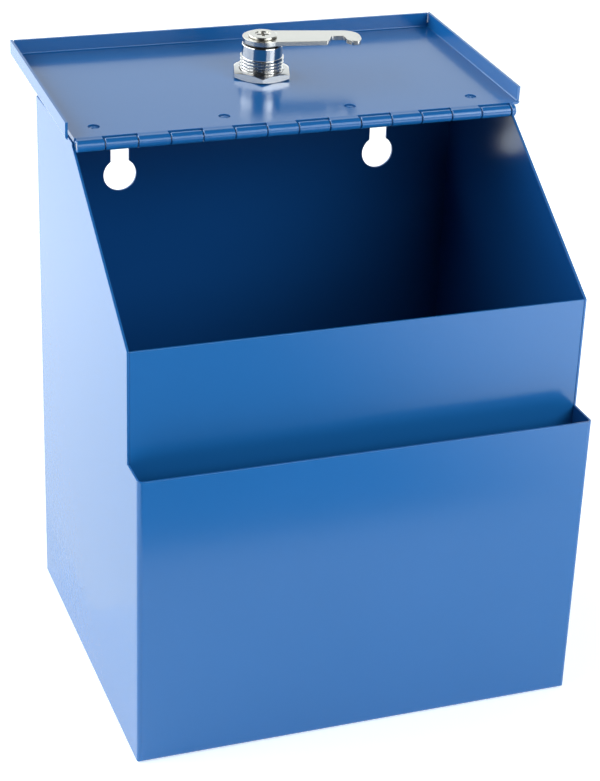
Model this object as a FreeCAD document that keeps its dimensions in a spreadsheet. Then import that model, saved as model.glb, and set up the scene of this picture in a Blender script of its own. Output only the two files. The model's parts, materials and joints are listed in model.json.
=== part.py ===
import FreeCAD, Part
import math
import os

import Sketcher

# Sheet-steel drop box with a sloped, locking lid.
#
# Row frame: +Z up, +X to the right seen from the front, +Y towards the back (wall) side.
# The origin is the centre of the base face.  The lid is drawn open, folded back over the
# top panel, which is joint value 0 of both joints.
#
# The box's own pieces are drawn in a frame whose Y starts at the pocket's front face.
# The lid's pieces are drawn in a frame on the hinge axis: +Y runs along the lid away from
# the hinge and +Z is the lid's inward normal.  The lock's pieces are drawn in a frame on
# the lock's axis with Z = 0 on the lid's outer face.

doc = FreeCAD.newDocument("drop_box")

# ----------------------------------------------------------------------------------------
# Driving sizes, in millimetres and degrees
# ----------------------------------------------------------------------------------------
SIZES = [
    ("box_width", 180.0, "outside width of the box"),
    ("box_depth", 150.0, "outside depth, pocket included"),
    ("box_height", 218.0, "base to the top panel's upper face"),
    ("wall", 1.0, "sheet thickness of every panel"),
    ("bend_radius", 2.2, "outside radius of the shell's bends"),
    ("pocket_depth", 14.7, "pocket front face to the inner front panel's face"),
    ("pocket_height", 121.8, "height of the pocket's rim"),
    ("front_height", 166.4, "height of the inner front panel's top edge"),
    ("rear_flange", 12.0, "width of the shell's rear flanges"),
    ("foot_flange", 12.0, "width of the inner front panel's foot"),
    ("top_flange", 11.0, "depth of the top panel's turned-down flanges"),
    ("flange_setback", 30.0, "top panel's front edge to its side flanges"),
    ("seam_gap", 0.4, "gap at an open sheet seam"),
    ("deposit_length", 120.0, "length of the deposit opening in the top panel"),
    ("deposit_width", 9.0, "width of the deposit opening"),
    ("deposit_setback", 24.0, "top panel's front edge to the deposit opening's middle"),
    ("keyhole_pitch", 112.8, "distance between the wall keyholes"),
    ("keyhole_drop", 35.5, "top panel's face to the middles of the keyholes' heads"),
    ("keyhole_head", 6.85, "radius of a keyhole's head"),
    ("keyhole_slot", 3.8, "half width of a keyhole's slot"),
    ("keyhole_rise", 15.0, "head centre to slot end centre"),
    ("hinge_setback", 88.0, "pocket front face to the hinge axis"),
    ("hinge_margin", 0.5, "box side to the hinge's end"),
    ("knuckle_pitch", 12.75, "length of one whole knuckle"),
    ("first_knuckle", 11.0, "length of the trimmed knuckle at the left end"),
    ("knuckle_radius", 2.3, "outside radius of the rolled knuckles"),
    ("knuckle_gap", 0.4, "gap between neighbouring knuckles"),
    ("knuckle_edge", 0.25, "chamfer on a knuckle's ends"),
    ("leaf_sheet", 0.8, "thickness of the hinge leaves"),
    ("leaf_width", 16.0, "hinge axis to a leaf's free edge"),
    ("leaf_margin", 1.5, "side wall to the body leaf's end"),
    ("pin_radius", 1.45, "radius of the hinge pin"),
    ("running_fit", 0.05, "radial clearance of a turning fit"),
    ("turning_gap", 0.4, "clearance round a turning knuckle"),
    ("folded_gap", 0.3, "lid leaf to the top panel when the lid is folded back"),
    ("closed_gap", 0.35, "lid floor to the side walls' sloped edges when closed"),
    ("rest_gap", 0.3, "top panel to the lock head when the lid is folded back"),
    ("lid_side_gap", 1.6, "box side to the lid's side flange"),
    ("lid_overhang", 7.2, "inner front panel's top edge to the lid's front face"),
    ("lid_flange", 7.0, "height of the lid's flanges over its outer face"),
    ("lid_bend", 1.6, "outside radius of the lid's bends"),
    ("edge_gap", 0.3, "knuckles to the lid floor's rear edge"),
    ("lid_flange_start", 3.2, "hinge axis to the side flanges' rear ends"),
    ("relief_length", 11.0, "length of the relief notch beside the hinge end"),
    ("weld_pitch", 51.6, "distance between the plug welds"),
    ("weld_shift", -2.0, "middle of the plug weld row, from the centre line"),
    ("weld_reach", 12.0, "hinge axis to the plug welds"),
    ("weld_radius", 2.3, "radius of the plug weld holes"),
    ("weld_fill", 0.45, "height of the weld metal in its hole"),
    ("lock_inset", 43.7, "lid's front face to the lock axis"),
    ("lock_shift", 0.8, "lock axis from the centre line"),
    ("barrel_radius", 8.8, "outside radius of the lock's threaded barrel"),
    ("thread_pitch", 1.3, "pitch of the barrel's thread"),
    ("thread_depth", 0.55, "depth of the barrel's thread"),
    ("thread_top", 10.4, "lid's outer face to the end of the thread"),
    ("collar_radius", 8.0, "radius of the plain end of the barrel"),
    ("barrel_top", 14.4, "lid's outer face to the end of the barrel"),
    ("head_radius", 11.0, "radius of the lock's head"),
    ("head_height", 2.9, "height of the lock's head over the lid"),
    ("nut_flats", 22.2, "across flats of the lock nut"),
    ("nut_height", 3.1, "thickness of the lock nut"),
    ("nut_turn", 16.0, "angle the nut came to rest at"),
    ("plug_inset", 0.3, "plug face below the lock head's face"),
    ("plug_radius", 6.0, "radius of the lock's turning plug"),
    ("tail_width", 7.0, "across flats of the plug's square tail"),
    ("tail_fit", 0.1, "clearance of a plate on the square tail, each side"),
    ("keyway_width", 2.2, "width of the keyway"),
    ("keyway_height", 8.0, "height of the keyway"),
    ("wafer_count", 5.0, "number of wafer tumblers"),
    ("wafer_sheet", 0.6, "thickness of a wafer"),
    ("wafer_pitch", 1.9, "distance between wafers"),
    ("wafer_width", 5.0, "width of a wafer"),
    ("wafer_height", 10.4, "height of a wafer"),
    ("wafer_fit", 0.1, "clearance round a wafer in its slot"),
    ("wafer_start", 2.6, "plug face to the first wafer"),
    ("spring_radius", 0.7, "radius of a wafer spring"),
    ("stop_sheet", 0.8, "thickness of the stop washer"),
    ("cam_turn", -11.0, "angle of the cam's arm from +X, the lock at rest"),
    ("cam_sheet", 1.9, "thickness of the cam"),
    ("cam_eye", 8.2, "radius of the cam's round end"),
    ("cam_width", 14.0, "width of the cam's arm at the eye"),
    ("cam_taper", 1.2, "how much the arm narrows on its hook side"),
    ("cam_reach", 39.8, "lock axis to the cam's tip"),
    ("hook_start", 26.5, "lock axis to the hook's throat"),
    ("hook_width", 7.0, "width of the hook's throat"),
    ("hook_depth", 6.0, "depth of the hook's throat"),
    ("washer_radius", 4.9, "radius of the spring washer on the cam"),
    ("washer_sheet", 0.3, "thickness of the spring washer"),
    ("screw_head", 5.75, "radius of the cam screw's head"),
    ("screw_rise", 0.8, "height of the cam screw's head"),
    ("screw_dish", 3.2, "radius of the dish in the cam screw's head"),
    ("screw_shank", 2.0, "radius of the cam screw's shank"),
    ("catch_width", 34.0, "width of the latch catch"),
    ("catch_sheet", 1.5, "thickness of the latch catch"),
    ("catch_leg", 8.0, "height of the catch's welded leg"),
    ("catch_reach", 11.0, "length of the catch's tongue"),
    ("catch_gap", 0.6, "clearance between the cam and the tongue"),
]

sizes = doc.addObject("Spreadsheet::Sheet", "Sizes")
for row, (alias, value, note) in enumerate(SIZES, start=1):
    sizes.set("A%d" % row, str(value))
    sizes.setAlias("A%d" % row, alias)
    sizes.set("B%d" % row, note)
doc.recompute()

# Sizes that follow from the driving ones, worked out once so that mating pieces agree.
FITS = [
    ("half_width", "Sizes.box_width / 2"),
    ("inner_half", "Sizes.box_width / 2 - Sizes.wall"),
    ("hinge_length", "Sizes.box_width - 2 * Sizes.hinge_margin"),
    ("lid_width", "Sizes.box_width + 2 * (Sizes.lid_side_gap + Sizes.wall)"),
    ("keyhole_height", "Sizes.box_height - Sizes.keyhole_drop"),
    ("leaf_offset", "(Sizes.wall + Sizes.folded_gap) / 2"),
    ("axis_height", "Sizes.box_height - Sizes.wall + Fit.leaf_offset"),
    ("axis_row_y", "Sizes.hinge_setback - Sizes.box_depth / 2"),
    ("top_front", "Sizes.hinge_setback + Sizes.knuckle_radius + 3 * Sizes.turning_gap"),
    ("lid_outer", "Fit.leaf_offset + Sizes.leaf_sheet"),
    ("lid_edge", "sqrt((Sizes.knuckle_radius + Sizes.edge_gap) ^ 2 - Fit.lid_outer ^ 2)"),
    ("lid_inner", "Fit.lid_outer + Sizes.wall"),
    ("axis_run", "Sizes.hinge_setback - Sizes.pocket_depth"),
    ("axis_rise", "Fit.axis_height - Sizes.front_height"),
    ("slope_drop", "Fit.lid_inner + Sizes.closed_gap"),
    ("slope_span", "sqrt(Fit.axis_run ^ 2 + Fit.axis_rise ^ 2)"),
    ("slope_angle", "(atan(Fit.axis_rise / Fit.axis_run) - asin(Fit.slope_drop / Fit.slope_span)) / 1 deg"),
    ("slope_rise", "tan(Fit.slope_angle * 1 deg)"),
    ("lid_length", "sqrt(Fit.slope_span ^ 2 - Fit.slope_drop ^ 2) + Sizes.lid_overhang"),
    ("lock_reach", "Fit.lid_length - Sizes.lock_inset"),
    ("shoulder", "Sizes.front_height + (Fit.top_front - Sizes.pocket_depth) * Fit.slope_rise"),
    ("hinge_start", "-Fit.hinge_length / 2"),
    ("whole_start", "Fit.hinge_start + Sizes.first_knuckle"),
    ("bore_radius", "Sizes.pin_radius + Sizes.running_fit"),
    ("notch_reach", "Sizes.knuckle_radius + Sizes.turning_gap"),
    ("rest_arm", "Fit.lock_reach - Sizes.head_radius"),
    ("rest_drop", "Sizes.head_height - Fit.lid_outer"),
    ("rest_rise", "Sizes.wall - Fit.leaf_offset + Sizes.rest_gap"),
    ("rest_span", "sqrt(Fit.rest_arm ^ 2 + Fit.rest_drop ^ 2)"),
    ("lid_tilt", "(asin(Fit.rest_rise / Fit.rest_span) + atan(Fit.rest_drop / Fit.rest_arm)) / 1 deg"),
    ("lock_row_y", "Fit.axis_row_y + Fit.lock_reach * cos(Fit.lid_tilt * 1 deg)"
                   " - Fit.lid_outer * sin(Fit.lid_tilt * 1 deg)"),
    ("lock_row_z", "Fit.axis_height + Fit.lock_reach * sin(Fit.lid_tilt * 1 deg)"
                   " + Fit.lid_outer * cos(Fit.lid_tilt * 1 deg)"),
    ("plug_face", "Sizes.plug_inset - Sizes.head_height"),
    ("stop_base", "Sizes.barrel_top + Sizes.running_fit"),
    ("cam_base", "Fit.stop_base + Sizes.stop_sheet"),
    ("cam_top", "Fit.cam_base + Sizes.cam_sheet"),
    ("washer_top", "Fit.cam_top + Sizes.washer_sheet"),
    ("tongue_low", "Fit.lid_outer + Fit.cam_base - Sizes.catch_gap"),
    ("tongue_high", "Fit.tongue_low - Sizes.catch_sheet"),
]
fit = doc.addObject("App::VarSet", "Fit")
for name, expression in FITS:
    fit.addProperty("App::PropertyFloat", name, "Fit", "")
    fit.setExpression(name, expression)
doc.recompute()


def value(expression):
    """The number an expression on the two tables stands for."""
    return float(fit.evalExpression(expression))


WHOLE_KNUCKLES = int((value("Fit.hinge_length - Sizes.first_knuckle")) // value("Sizes.knuckle_pitch"))
SUB_PARTS = []


# ----------------------------------------------------------------------------------------
# Small helpers
# ----------------------------------------------------------------------------------------
def new_body(label):
    """A PartDesign body whose label is the sub-part's name."""
    body = doc.addObject("PartDesign::Body", label)
    body.Label = label
    SUB_PARTS.append(body)
    return body


def origin_item(body, role):
    """One of a body's own origin planes or axes, found by its role."""
    return [item for item in body.Origin.OriginFeatures if item.Role == role][0]


def new_sketch(body, name, plane, offset="0"):
    """A sketch on one of the body's origin planes, moved along the plane's normal."""
    sketch = body.newObject("Sketcher::SketchObject", name)
    sketch.AttachmentSupport = [(origin_item(body, plane), "")]
    sketch.MapMode = "FlatFace"
    if offset != "0":
        sketch.setExpression("AttachmentOffset.Base.z", offset)
    return sketch


def pin_point(sketch, geometry, end, across, along):
    """Ties one point of a sketch to the origin by two sizes."""
    for kind, size, axis in (("DistanceX", across, -2), ("DistanceY", along, -1)):
        if size == "0":
            sketch.addConstraint(Sketcher.Constraint("PointOnObject", geometry, end, axis))
            continue
        index = sketch.addConstraint(Sketcher.Constraint(kind, -1, 1, geometry, end, value(size)))
        sketch.setExpression("Constraints[%d]" % index, size)


def draw_polygon(sketch, corners):
    """A closed outline of straight lines through corners given as size expressions."""
    points = [FreeCAD.Vector(value(u), value(v), 0) for u, v in corners]
    first = sketch.GeometryCount
    count = len(points)
    for i in range(count):
        sketch.addGeometry(Part.LineSegment(points[i], points[(i + 1) % count]))
    for i in range(count):
        following = first + (i + 1) % count
        sketch.addConstraint(Sketcher.Constraint("Coincident", first + i, 2, following, 1))
    for i, (u, v) in enumerate(corners):
        pin_point(sketch, first + i, 1, u, v)


def draw_circle(sketch, u, v, radius):
    """A circle given by size expressions."""
    centre = FreeCAD.Vector(value(u), value(v), 0)
    index = sketch.addGeometry(Part.Circle(centre, FreeCAD.Vector(0, 0, 1), value(radius)))
    pin_point(sketch, index, 3, u, v)
    tie = sketch.addConstraint(Sketcher.Constraint("Radius", index, value(radius)))
    sketch.setExpression("Constraints[%d]" % tie, radius)


def rectangle(left, low, right, high):
    """The four corners of an upright rectangle."""
    return [(left, low), (right, low), (right, high), (left, high)]


def volume(body):
    """The body's volume now, or nothing before its first feature."""
    return body.Shape.Volume if not body.Shape.isNull() else 0.0


def add_prism(body, name, plane, start, length, corners=None, circles=None):
    """Pads an outline from a plane offset, along the plane's normal."""
    return _prism(body, name, "PartDesign::Pad", plane, start, length, corners, circles)


def cut_prism(body, name, plane, start, length, corners=None, circles=None):
    """Cuts an outline from a plane offset, along the plane's normal."""
    return _prism(body, name, "PartDesign::Pocket", plane, start, length, corners, circles)


def _prism(body, name, kind, plane, start, length, corners, circles):
    sketch = new_sketch(body, name + "_sketch", plane, start)
    if corners:
        draw_polygon(sketch, corners)
    for u, v, radius in circles or []:
        draw_circle(sketch, u, v, radius)
    doc.recompute()
    before = volume(body)
    feature = body.newObject(kind, name)
    feature.Profile = sketch
    feature.setExpression("Length", length)
    if kind == "PartDesign::Pocket":
        feature.Reversed = True
    doc.recompute()
    changed = volume(body) - before
    if (changed <= 0) == (kind == "PartDesign::Pad"):
        raise RuntimeError("%s changed nothing" % name)
    return feature


def round_edges(body, name, radius, wanted, kind="PartDesign::Fillet"):
    """Rounds or chamfers the edges whose middle point a test picks."""
    base = body.Tip
    picked = []
    for number, edge in enumerate(base.Shape.Edges, start=1):
        middle = edge.valueAt((edge.FirstParameter + edge.LastParameter) / 2)
        if wanted(edge, middle):
            picked.append("Edge%d" % number)
    if not picked:
        raise RuntimeError("%s found no edge" % name)
    feature = body.newObject(kind, name)
    feature.Base = (base, picked)
    feature.setExpression("Radius" if kind == "PartDesign::Fillet" else "Size", radius)
    doc.recompute()
    return feature


def close(a, b):
    """Whether two lengths are the same but for rounding."""
    return abs(a - b) < 1e-3


def place_in_box(body):
    """Puts a piece drawn from the pocket's front face into the row frame."""
    body.setExpression("Placement.Base.y", "-Sizes.box_depth / 2")


def place_on_hinge(body, tilt):
    """Puts a piece drawn on the hinge axis into the row frame."""
    body.Placement = FreeCAD.Placement(FreeCAD.Vector(), FreeCAD.Rotation(FreeCAD.Vector(1, 0, 0), 1))
    body.setExpression("Placement.Base.y", "Fit.axis_row_y")
    body.setExpression("Placement.Base.z", "Fit.axis_height")
    body.setExpression("Placement.Rotation.Angle", tilt)


def place_on_lock(piece, turn="0"):
    """Puts a piece drawn on the lock's axis into the row frame, turned about that axis."""
    tilted = "rotation(vector(1; 0; 0); Fit.lid_tilt) * rotation(vector(0; 0; 1); %s)" % turn
    centre = "vector(Sizes.lock_shift; Fit.lock_row_y; Fit.lock_row_z)"
    piece.setExpression("Placement", "placement(%s; %s)" % (centre, tilted))


# ----------------------------------------------------------------------------------------
# The box
# ----------------------------------------------------------------------------------------
def make_outer_shell():
    """Sides, pocket front and bottom, folded from one sheet, with rear flanges."""
    body = new_body("outer_shell")
    add_prism(body, "shell_block", "XY_Plane", "0", "Sizes.box_height",
              rectangle("-Fit.half_width", "0", "Fit.half_width", "Sizes.box_depth"))
    half = value("Fit.half_width")
    height = value("Sizes.box_height")
    round_edges(body, "shell_bends", "Sizes.bend_radius",
                lambda edge, p: close(p.y, 0) and (close(abs(p.x), half) or close(p.z, 0)))
    cut_prism(body, "shell_hollow", "XY_Plane", "Sizes.wall", "Sizes.box_height",
              rectangle("-Fit.inner_half", "Sizes.wall", "Fit.inner_half", "Sizes.box_depth - Sizes.wall"))
    wall = value("Sizes.wall")
    inner = value("Fit.inner_half")
    round_edges(body, "shell_inner_bends", "Sizes.bend_radius - Sizes.wall",
                lambda edge, p: close(p.y, wall) and p.z < height - wall
                and (close(abs(p.x), inner) or close(p.z, wall)))
    cut_prism(body, "rear_opening", "XY_Plane", "Sizes.wall", "Sizes.box_height",
              rectangle("-Fit.half_width + Sizes.rear_flange", "Sizes.box_depth - 2 * Sizes.wall",
                        "Fit.half_width - Sizes.rear_flange", "Sizes.box_depth + Sizes.wall"))
    cut_prism(body, "rear_flange_tops", "XY_Plane",
              "Sizes.box_height - Sizes.top_flange - Sizes.seam_gap", "Sizes.box_height",
              rectangle("-Fit.inner_half", "Sizes.box_depth - 2 * Sizes.wall",
                        "Fit.inner_half", "Sizes.box_depth + Sizes.wall"))
    outline = [("-Sizes.wall", "Sizes.pocket_height"),
               ("Sizes.pocket_depth", "Sizes.pocket_height"),
               ("Sizes.pocket_depth", "Sizes.front_height"),
               ("Fit.top_front", "Fit.shoulder"),
               ("Fit.top_front", "Sizes.box_height + Sizes.wall"),
               ("-Sizes.wall", "Sizes.box_height + Sizes.wall")]
    cut_prism(body, "side_outline", "YZ_Plane", "-Sizes.box_width", "2 * Sizes.box_width", outline)
    place_in_box(body)


def make_inner_front_panel():
    """The wall between the pocket and the compartment, standing on a turned foot."""
    body = new_body("inner_front_panel")
    profile = [("Sizes.pocket_depth", "Sizes.wall"),
               ("Sizes.pocket_depth + Sizes.foot_flange", "Sizes.wall"),
               ("Sizes.pocket_depth + Sizes.foot_flange", "2 * Sizes.wall"),
               ("Sizes.pocket_depth + Sizes.wall", "2 * Sizes.wall"),
               ("Sizes.pocket_depth + Sizes.wall", "Sizes.front_height"),
               ("Sizes.pocket_depth", "Sizes.front_height")]
    add_prism(body, "front_sheet", "YZ_Plane", "-Fit.inner_half", "2 * Fit.inner_half", profile)
    wall = value("Sizes.wall")
    front = value("Sizes.pocket_depth")
    round_edges(body, "front_outer_bend", "Sizes.bend_radius",
                lambda edge, p: close(p.y, front) and close(p.z, wall))
    round_edges(body, "front_inner_bend", "Sizes.bend_radius - Sizes.wall",
                lambda edge, p: close(p.y, front + wall) and close(p.z, 2 * wall))
    place_in_box(body)


def make_back_panel():
    """The rear wall with its two keyholes, in front of the shell's rear flanges."""
    body = new_body("back_panel")
    front = "-(Sizes.box_depth - Sizes.wall)"
    add_prism(body, "back_sheet", "XZ_Plane", front, "Sizes.wall",
              rectangle("-Fit.inner_half", "Sizes.wall", "Fit.inner_half", "Sizes.box_height - Sizes.wall"))
    through = "3 * Sizes.wall"
    start = "-Sizes.box_depth"
    sides = ("-Sizes.keyhole_pitch / 2", "Sizes.keyhole_pitch / 2")
    cut_prism(body, "keyhole_heads", "XZ_Plane", start, through,
              circles=[(x, "Fit.keyhole_height", "Sizes.keyhole_head") for x in sides])
    cut_prism(body, "keyhole_ends", "XZ_Plane", start, through,
              circles=[(x, "Fit.keyhole_height + Sizes.keyhole_rise", "Sizes.keyhole_slot") for x in sides])
    for number, x in enumerate(sides, start=1):
        cut_prism(body, "keyhole_slot_%d" % number, "XZ_Plane", start, through,
                  rectangle(x + " - Sizes.keyhole_slot", "Fit.keyhole_height",
                            x + " + Sizes.keyhole_slot", "Fit.keyhole_height + Sizes.keyhole_rise"))
    place_in_box(body)


def weld_places():
    """Middles of the plug welds along the hinge."""
    return ["Sizes.weld_shift + %s * Sizes.weld_pitch" % (number - 1.5) for number in range(4)]


def make_top_panel():
    """The level top with its deposit opening and turned-down side and rear flanges."""
    body = new_body("top_panel")
    under = "Sizes.box_height - Sizes.wall"
    add_prism(body, "top_sheet", "XY_Plane", under, "Sizes.wall",
              rectangle("-Fit.inner_half", "Fit.top_front", "Fit.inner_half", "Sizes.box_depth"))
    flange_low = "Sizes.box_height - Sizes.top_flange"
    flange_rise = "Sizes.top_flange - Sizes.wall"
    for side, sign in (("left", "-"), ("right", "")):
        outer = sign + "Fit.inner_half"
        inner = sign + "(Fit.inner_half - Sizes.wall)"
        add_prism(body, side + "_flange", "XY_Plane", flange_low, flange_rise,
                  rectangle(outer, "Fit.top_front + Sizes.flange_setback",
                            inner, "Sizes.box_depth - 2 * Sizes.wall - Sizes.seam_gap"))
    add_prism(body, "rear_flange", "XY_Plane", flange_low, flange_rise,
              rectangle("-Fit.inner_half", "Sizes.box_depth - Sizes.wall", "Fit.inner_half", "Sizes.box_depth"))
    top = value("Sizes.box_height")
    rear = value("Sizes.box_depth")
    round_edges(body, "rear_bend", "Sizes.bend_radius / 2",
                lambda edge, p: close(p.y, rear) and close(p.z, top))
    slot_y = "Fit.top_front + Sizes.deposit_setback"
    straight = "(Sizes.deposit_length - Sizes.deposit_width) / 2"
    start = "Sizes.box_height - 2 * Sizes.wall"
    cut_prism(body, "deposit_slot", "XY_Plane", start, "3 * Sizes.wall",
              rectangle("-" + straight, slot_y + " - Sizes.deposit_width / 2",
                        straight, slot_y + " + Sizes.deposit_width / 2"))
    cut_prism(body, "deposit_ends", "XY_Plane", start, "3 * Sizes.wall",
              circles=[("-" + straight, slot_y, "Sizes.deposit_width / 2"),
                       (straight, slot_y, "Sizes.deposit_width / 2")])
    cut_prism(body, "weld_holes", "XY_Plane", start, "3 * Sizes.wall",
              circles=[(place, "Sizes.hinge_setback + Sizes.weld_reach", "Sizes.weld_radius")
                       for place in weld_places()])
    place_in_box(body)


def make_latch_catch():
    """A small angle on the inner front panel whose tongue the locked cam passes under."""
    body = new_body("latch_catch")
    root_y = "Sizes.pocket_depth + Sizes.wall"
    drop = "(1 / cos(Fit.slope_angle * 1 deg))"

    def on_line(depth, y):
        """Height at y of the line parallel to the closed lid at a depth under the axis."""
        return "(Fit.axis_height - (%s) * %s - (Sizes.hinge_setback - (%s)) * Fit.slope_rise)" % (depth, drop, y)

    tip_y = root_y + " + Sizes.catch_reach"
    leg_y = root_y + " + Sizes.catch_sheet"
    leg_top = on_line("Fit.tongue_high", leg_y) + " + Sizes.catch_leg"
    profile = [(root_y, on_line("Fit.tongue_low", root_y)),
               (tip_y, on_line("Fit.tongue_low", tip_y)),
               (tip_y, on_line("Fit.tongue_high", tip_y)),
               (leg_y, on_line("Fit.tongue_high", leg_y)),
               (leg_y, leg_top),
               (root_y, leg_top)]
    add_prism(body, "catch_sheet", "YZ_Plane", "-Sizes.catch_width / 2 + Sizes.lock_shift",
              "Sizes.catch_width", profile)
    place_in_box(body)


# ----------------------------------------------------------------------------------------
# The hinge
# ----------------------------------------------------------------------------------------
def add_knuckle(body, name, start, length, side):
    """A rolled knuckle with chamfered ends, and the tab that joins it to its leaf."""
    gap = "Sizes.knuckle_gap / 2"
    left = "%s + %s" % (start, gap)
    right = "%s + %s - %s" % (start, length, gap)
    edge = "Sizes.knuckle_edge"
    sketch = new_sketch(body, name + "_sketch", "XY_Plane")
    draw_polygon(sketch, [(left, "0"), (right, "0"), (right, "Sizes.knuckle_radius - " + edge),
                          (right + " - " + edge, "Sizes.knuckle_radius"),
                          (left + " + " + edge, "Sizes.knuckle_radius"),
                          (left, "Sizes.knuckle_radius - " + edge)])
    doc.recompute()
    roll = body.newObject("PartDesign::Revolution", name)
    roll.Profile = sketch
    roll.ReferenceAxis = (origin_item(body, "X_Axis"), [""])
    roll.Angle = 360
    doc.recompute()
    low, high = leaf_levels(side)
    tab = add_prism(body, name + "_tab", "YZ_Plane", left, "%s - %s" % (length, "Sizes.knuckle_gap"),
                    rectangle("0", low, "Fit.notch_reach + Sizes.leaf_sheet", high))
    return roll, tab


def leaf_levels(side):
    """The leaf's lower and upper face from the axis: the lid's is above, the box's below."""
    if side == "lid":
        return "Fit.leaf_offset", "Fit.lid_outer"
    return "-Fit.lid_outer", "-Fit.leaf_offset"


def repeat(body, name, originals, count):
    """Repeats features along the hinge, every second knuckle."""
    pattern = body.newObject("PartDesign::LinearPattern", name)
    pattern.Originals = originals
    pattern.Direction = (origin_item(body, "X_Axis"), [""])
    pattern.setExpression("Length", "%d * Sizes.knuckle_pitch" % (2 * (count - 1)))
    pattern.Occurrences = count
    body.Tip = pattern
    doc.recompute()


def finish_leaf(body, side, left, width):
    """The leaf's flat sheet and the pin's bore through every knuckle."""
    low, high = leaf_levels(side)
    rise = "(%s) - (%s)" % (high, low)
    add_prism(body, "leaf_sheet", "XY_Plane", low, rise,
              rectangle(left, "Fit.notch_reach", "%s + %s" % (left, width), "Sizes.leaf_width"))
    cut_prism(body, "pin_bore", "YZ_Plane", "-Fit.hinge_length", "2 * Fit.hinge_length",
              circles=[("0", "0", "Fit.bore_radius")])


def make_hinge_box_leaf():
    """The leaf welded under the top panel, with every second knuckle."""
    body = new_body("hinge_box_leaf")
    pair = add_knuckle(body, "box_knuckle", "Fit.whole_start", "Sizes.knuckle_pitch", "box")
    repeat(body, "box_knuckles", list(pair), (WHOLE_KNUCKLES + 1) // 2)
    half = "(Fit.inner_half - Sizes.wall - Sizes.leaf_margin)"
    finish_leaf(body, "box", "-" + half, "2 * " + half)
    place_on_hinge(body, "0")


def make_hinge_lid_leaf():
    """The leaf welded to the lid's outer face, with the other knuckles and both end pieces."""
    body = new_body("hinge_lid_leaf")
    pair = add_knuckle(body, "lid_knuckle", "Fit.whole_start + Sizes.knuckle_pitch",
                       "Sizes.knuckle_pitch", "lid")
    repeat(body, "lid_knuckles", list(pair), WHOLE_KNUCKLES // 2)
    add_knuckle(body, "first_knuckle", "Fit.hinge_start", "Sizes.first_knuckle", "lid")
    stub = "Fit.whole_start + %d * Sizes.knuckle_pitch" % WHOLE_KNUCKLES
    add_knuckle(body, "last_knuckle", stub, "-Fit.hinge_start - (%s)" % stub, "lid")
    finish_leaf(body, "lid", "Fit.hinge_start", "Fit.hinge_length")
    place_on_hinge(body, "Fit.lid_tilt")


def make_hinge_pin():
    """The plain wire pin through all the knuckles."""
    pin = doc.addObject("Part::Cylinder", "hinge_pin")
    pin.Label = "hinge_pin"
    pin.setExpression("Radius", "Sizes.pin_radius")
    pin.setExpression("Height", "Fit.hinge_length - 2 * Sizes.knuckle_gap")
    pin.Placement = FreeCAD.Placement(FreeCAD.Vector(), FreeCAD.Rotation(FreeCAD.Vector(0, 1, 0), 90))
    pin.setExpression("Placement.Base.x", "Fit.hinge_start + Sizes.knuckle_gap")
    pin.setExpression("Placement.Base.y", "Fit.axis_row_y")
    pin.setExpression("Placement.Base.z", "Fit.axis_height")
    SUB_PARTS.append(pin)


def make_plug_welds(label, base, tilt):
    """Four weld plugs that hold a leaf to its sheet, each a low disc in its hole."""
    compound = doc.addObject("Part::Compound", label)
    compound.Label = label
    discs = []
    for number, place in enumerate(weld_places(), start=1):
        disc = doc.addObject("Part::Cylinder", "%s_%d" % (label, number))
        disc.setExpression("Radius", "Sizes.weld_radius")
        disc.setExpression("Height", "Sizes.weld_fill")
        disc.setExpression("Placement.Base.x", place)
        disc.setExpression("Placement.Base.y", "Sizes.weld_reach")
        disc.setExpression("Placement.Base.z", base)
        discs.append(disc)
    compound.Links = discs
    place_on_hinge(compound, tilt)
    SUB_PARTS.append(compound)


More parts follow.
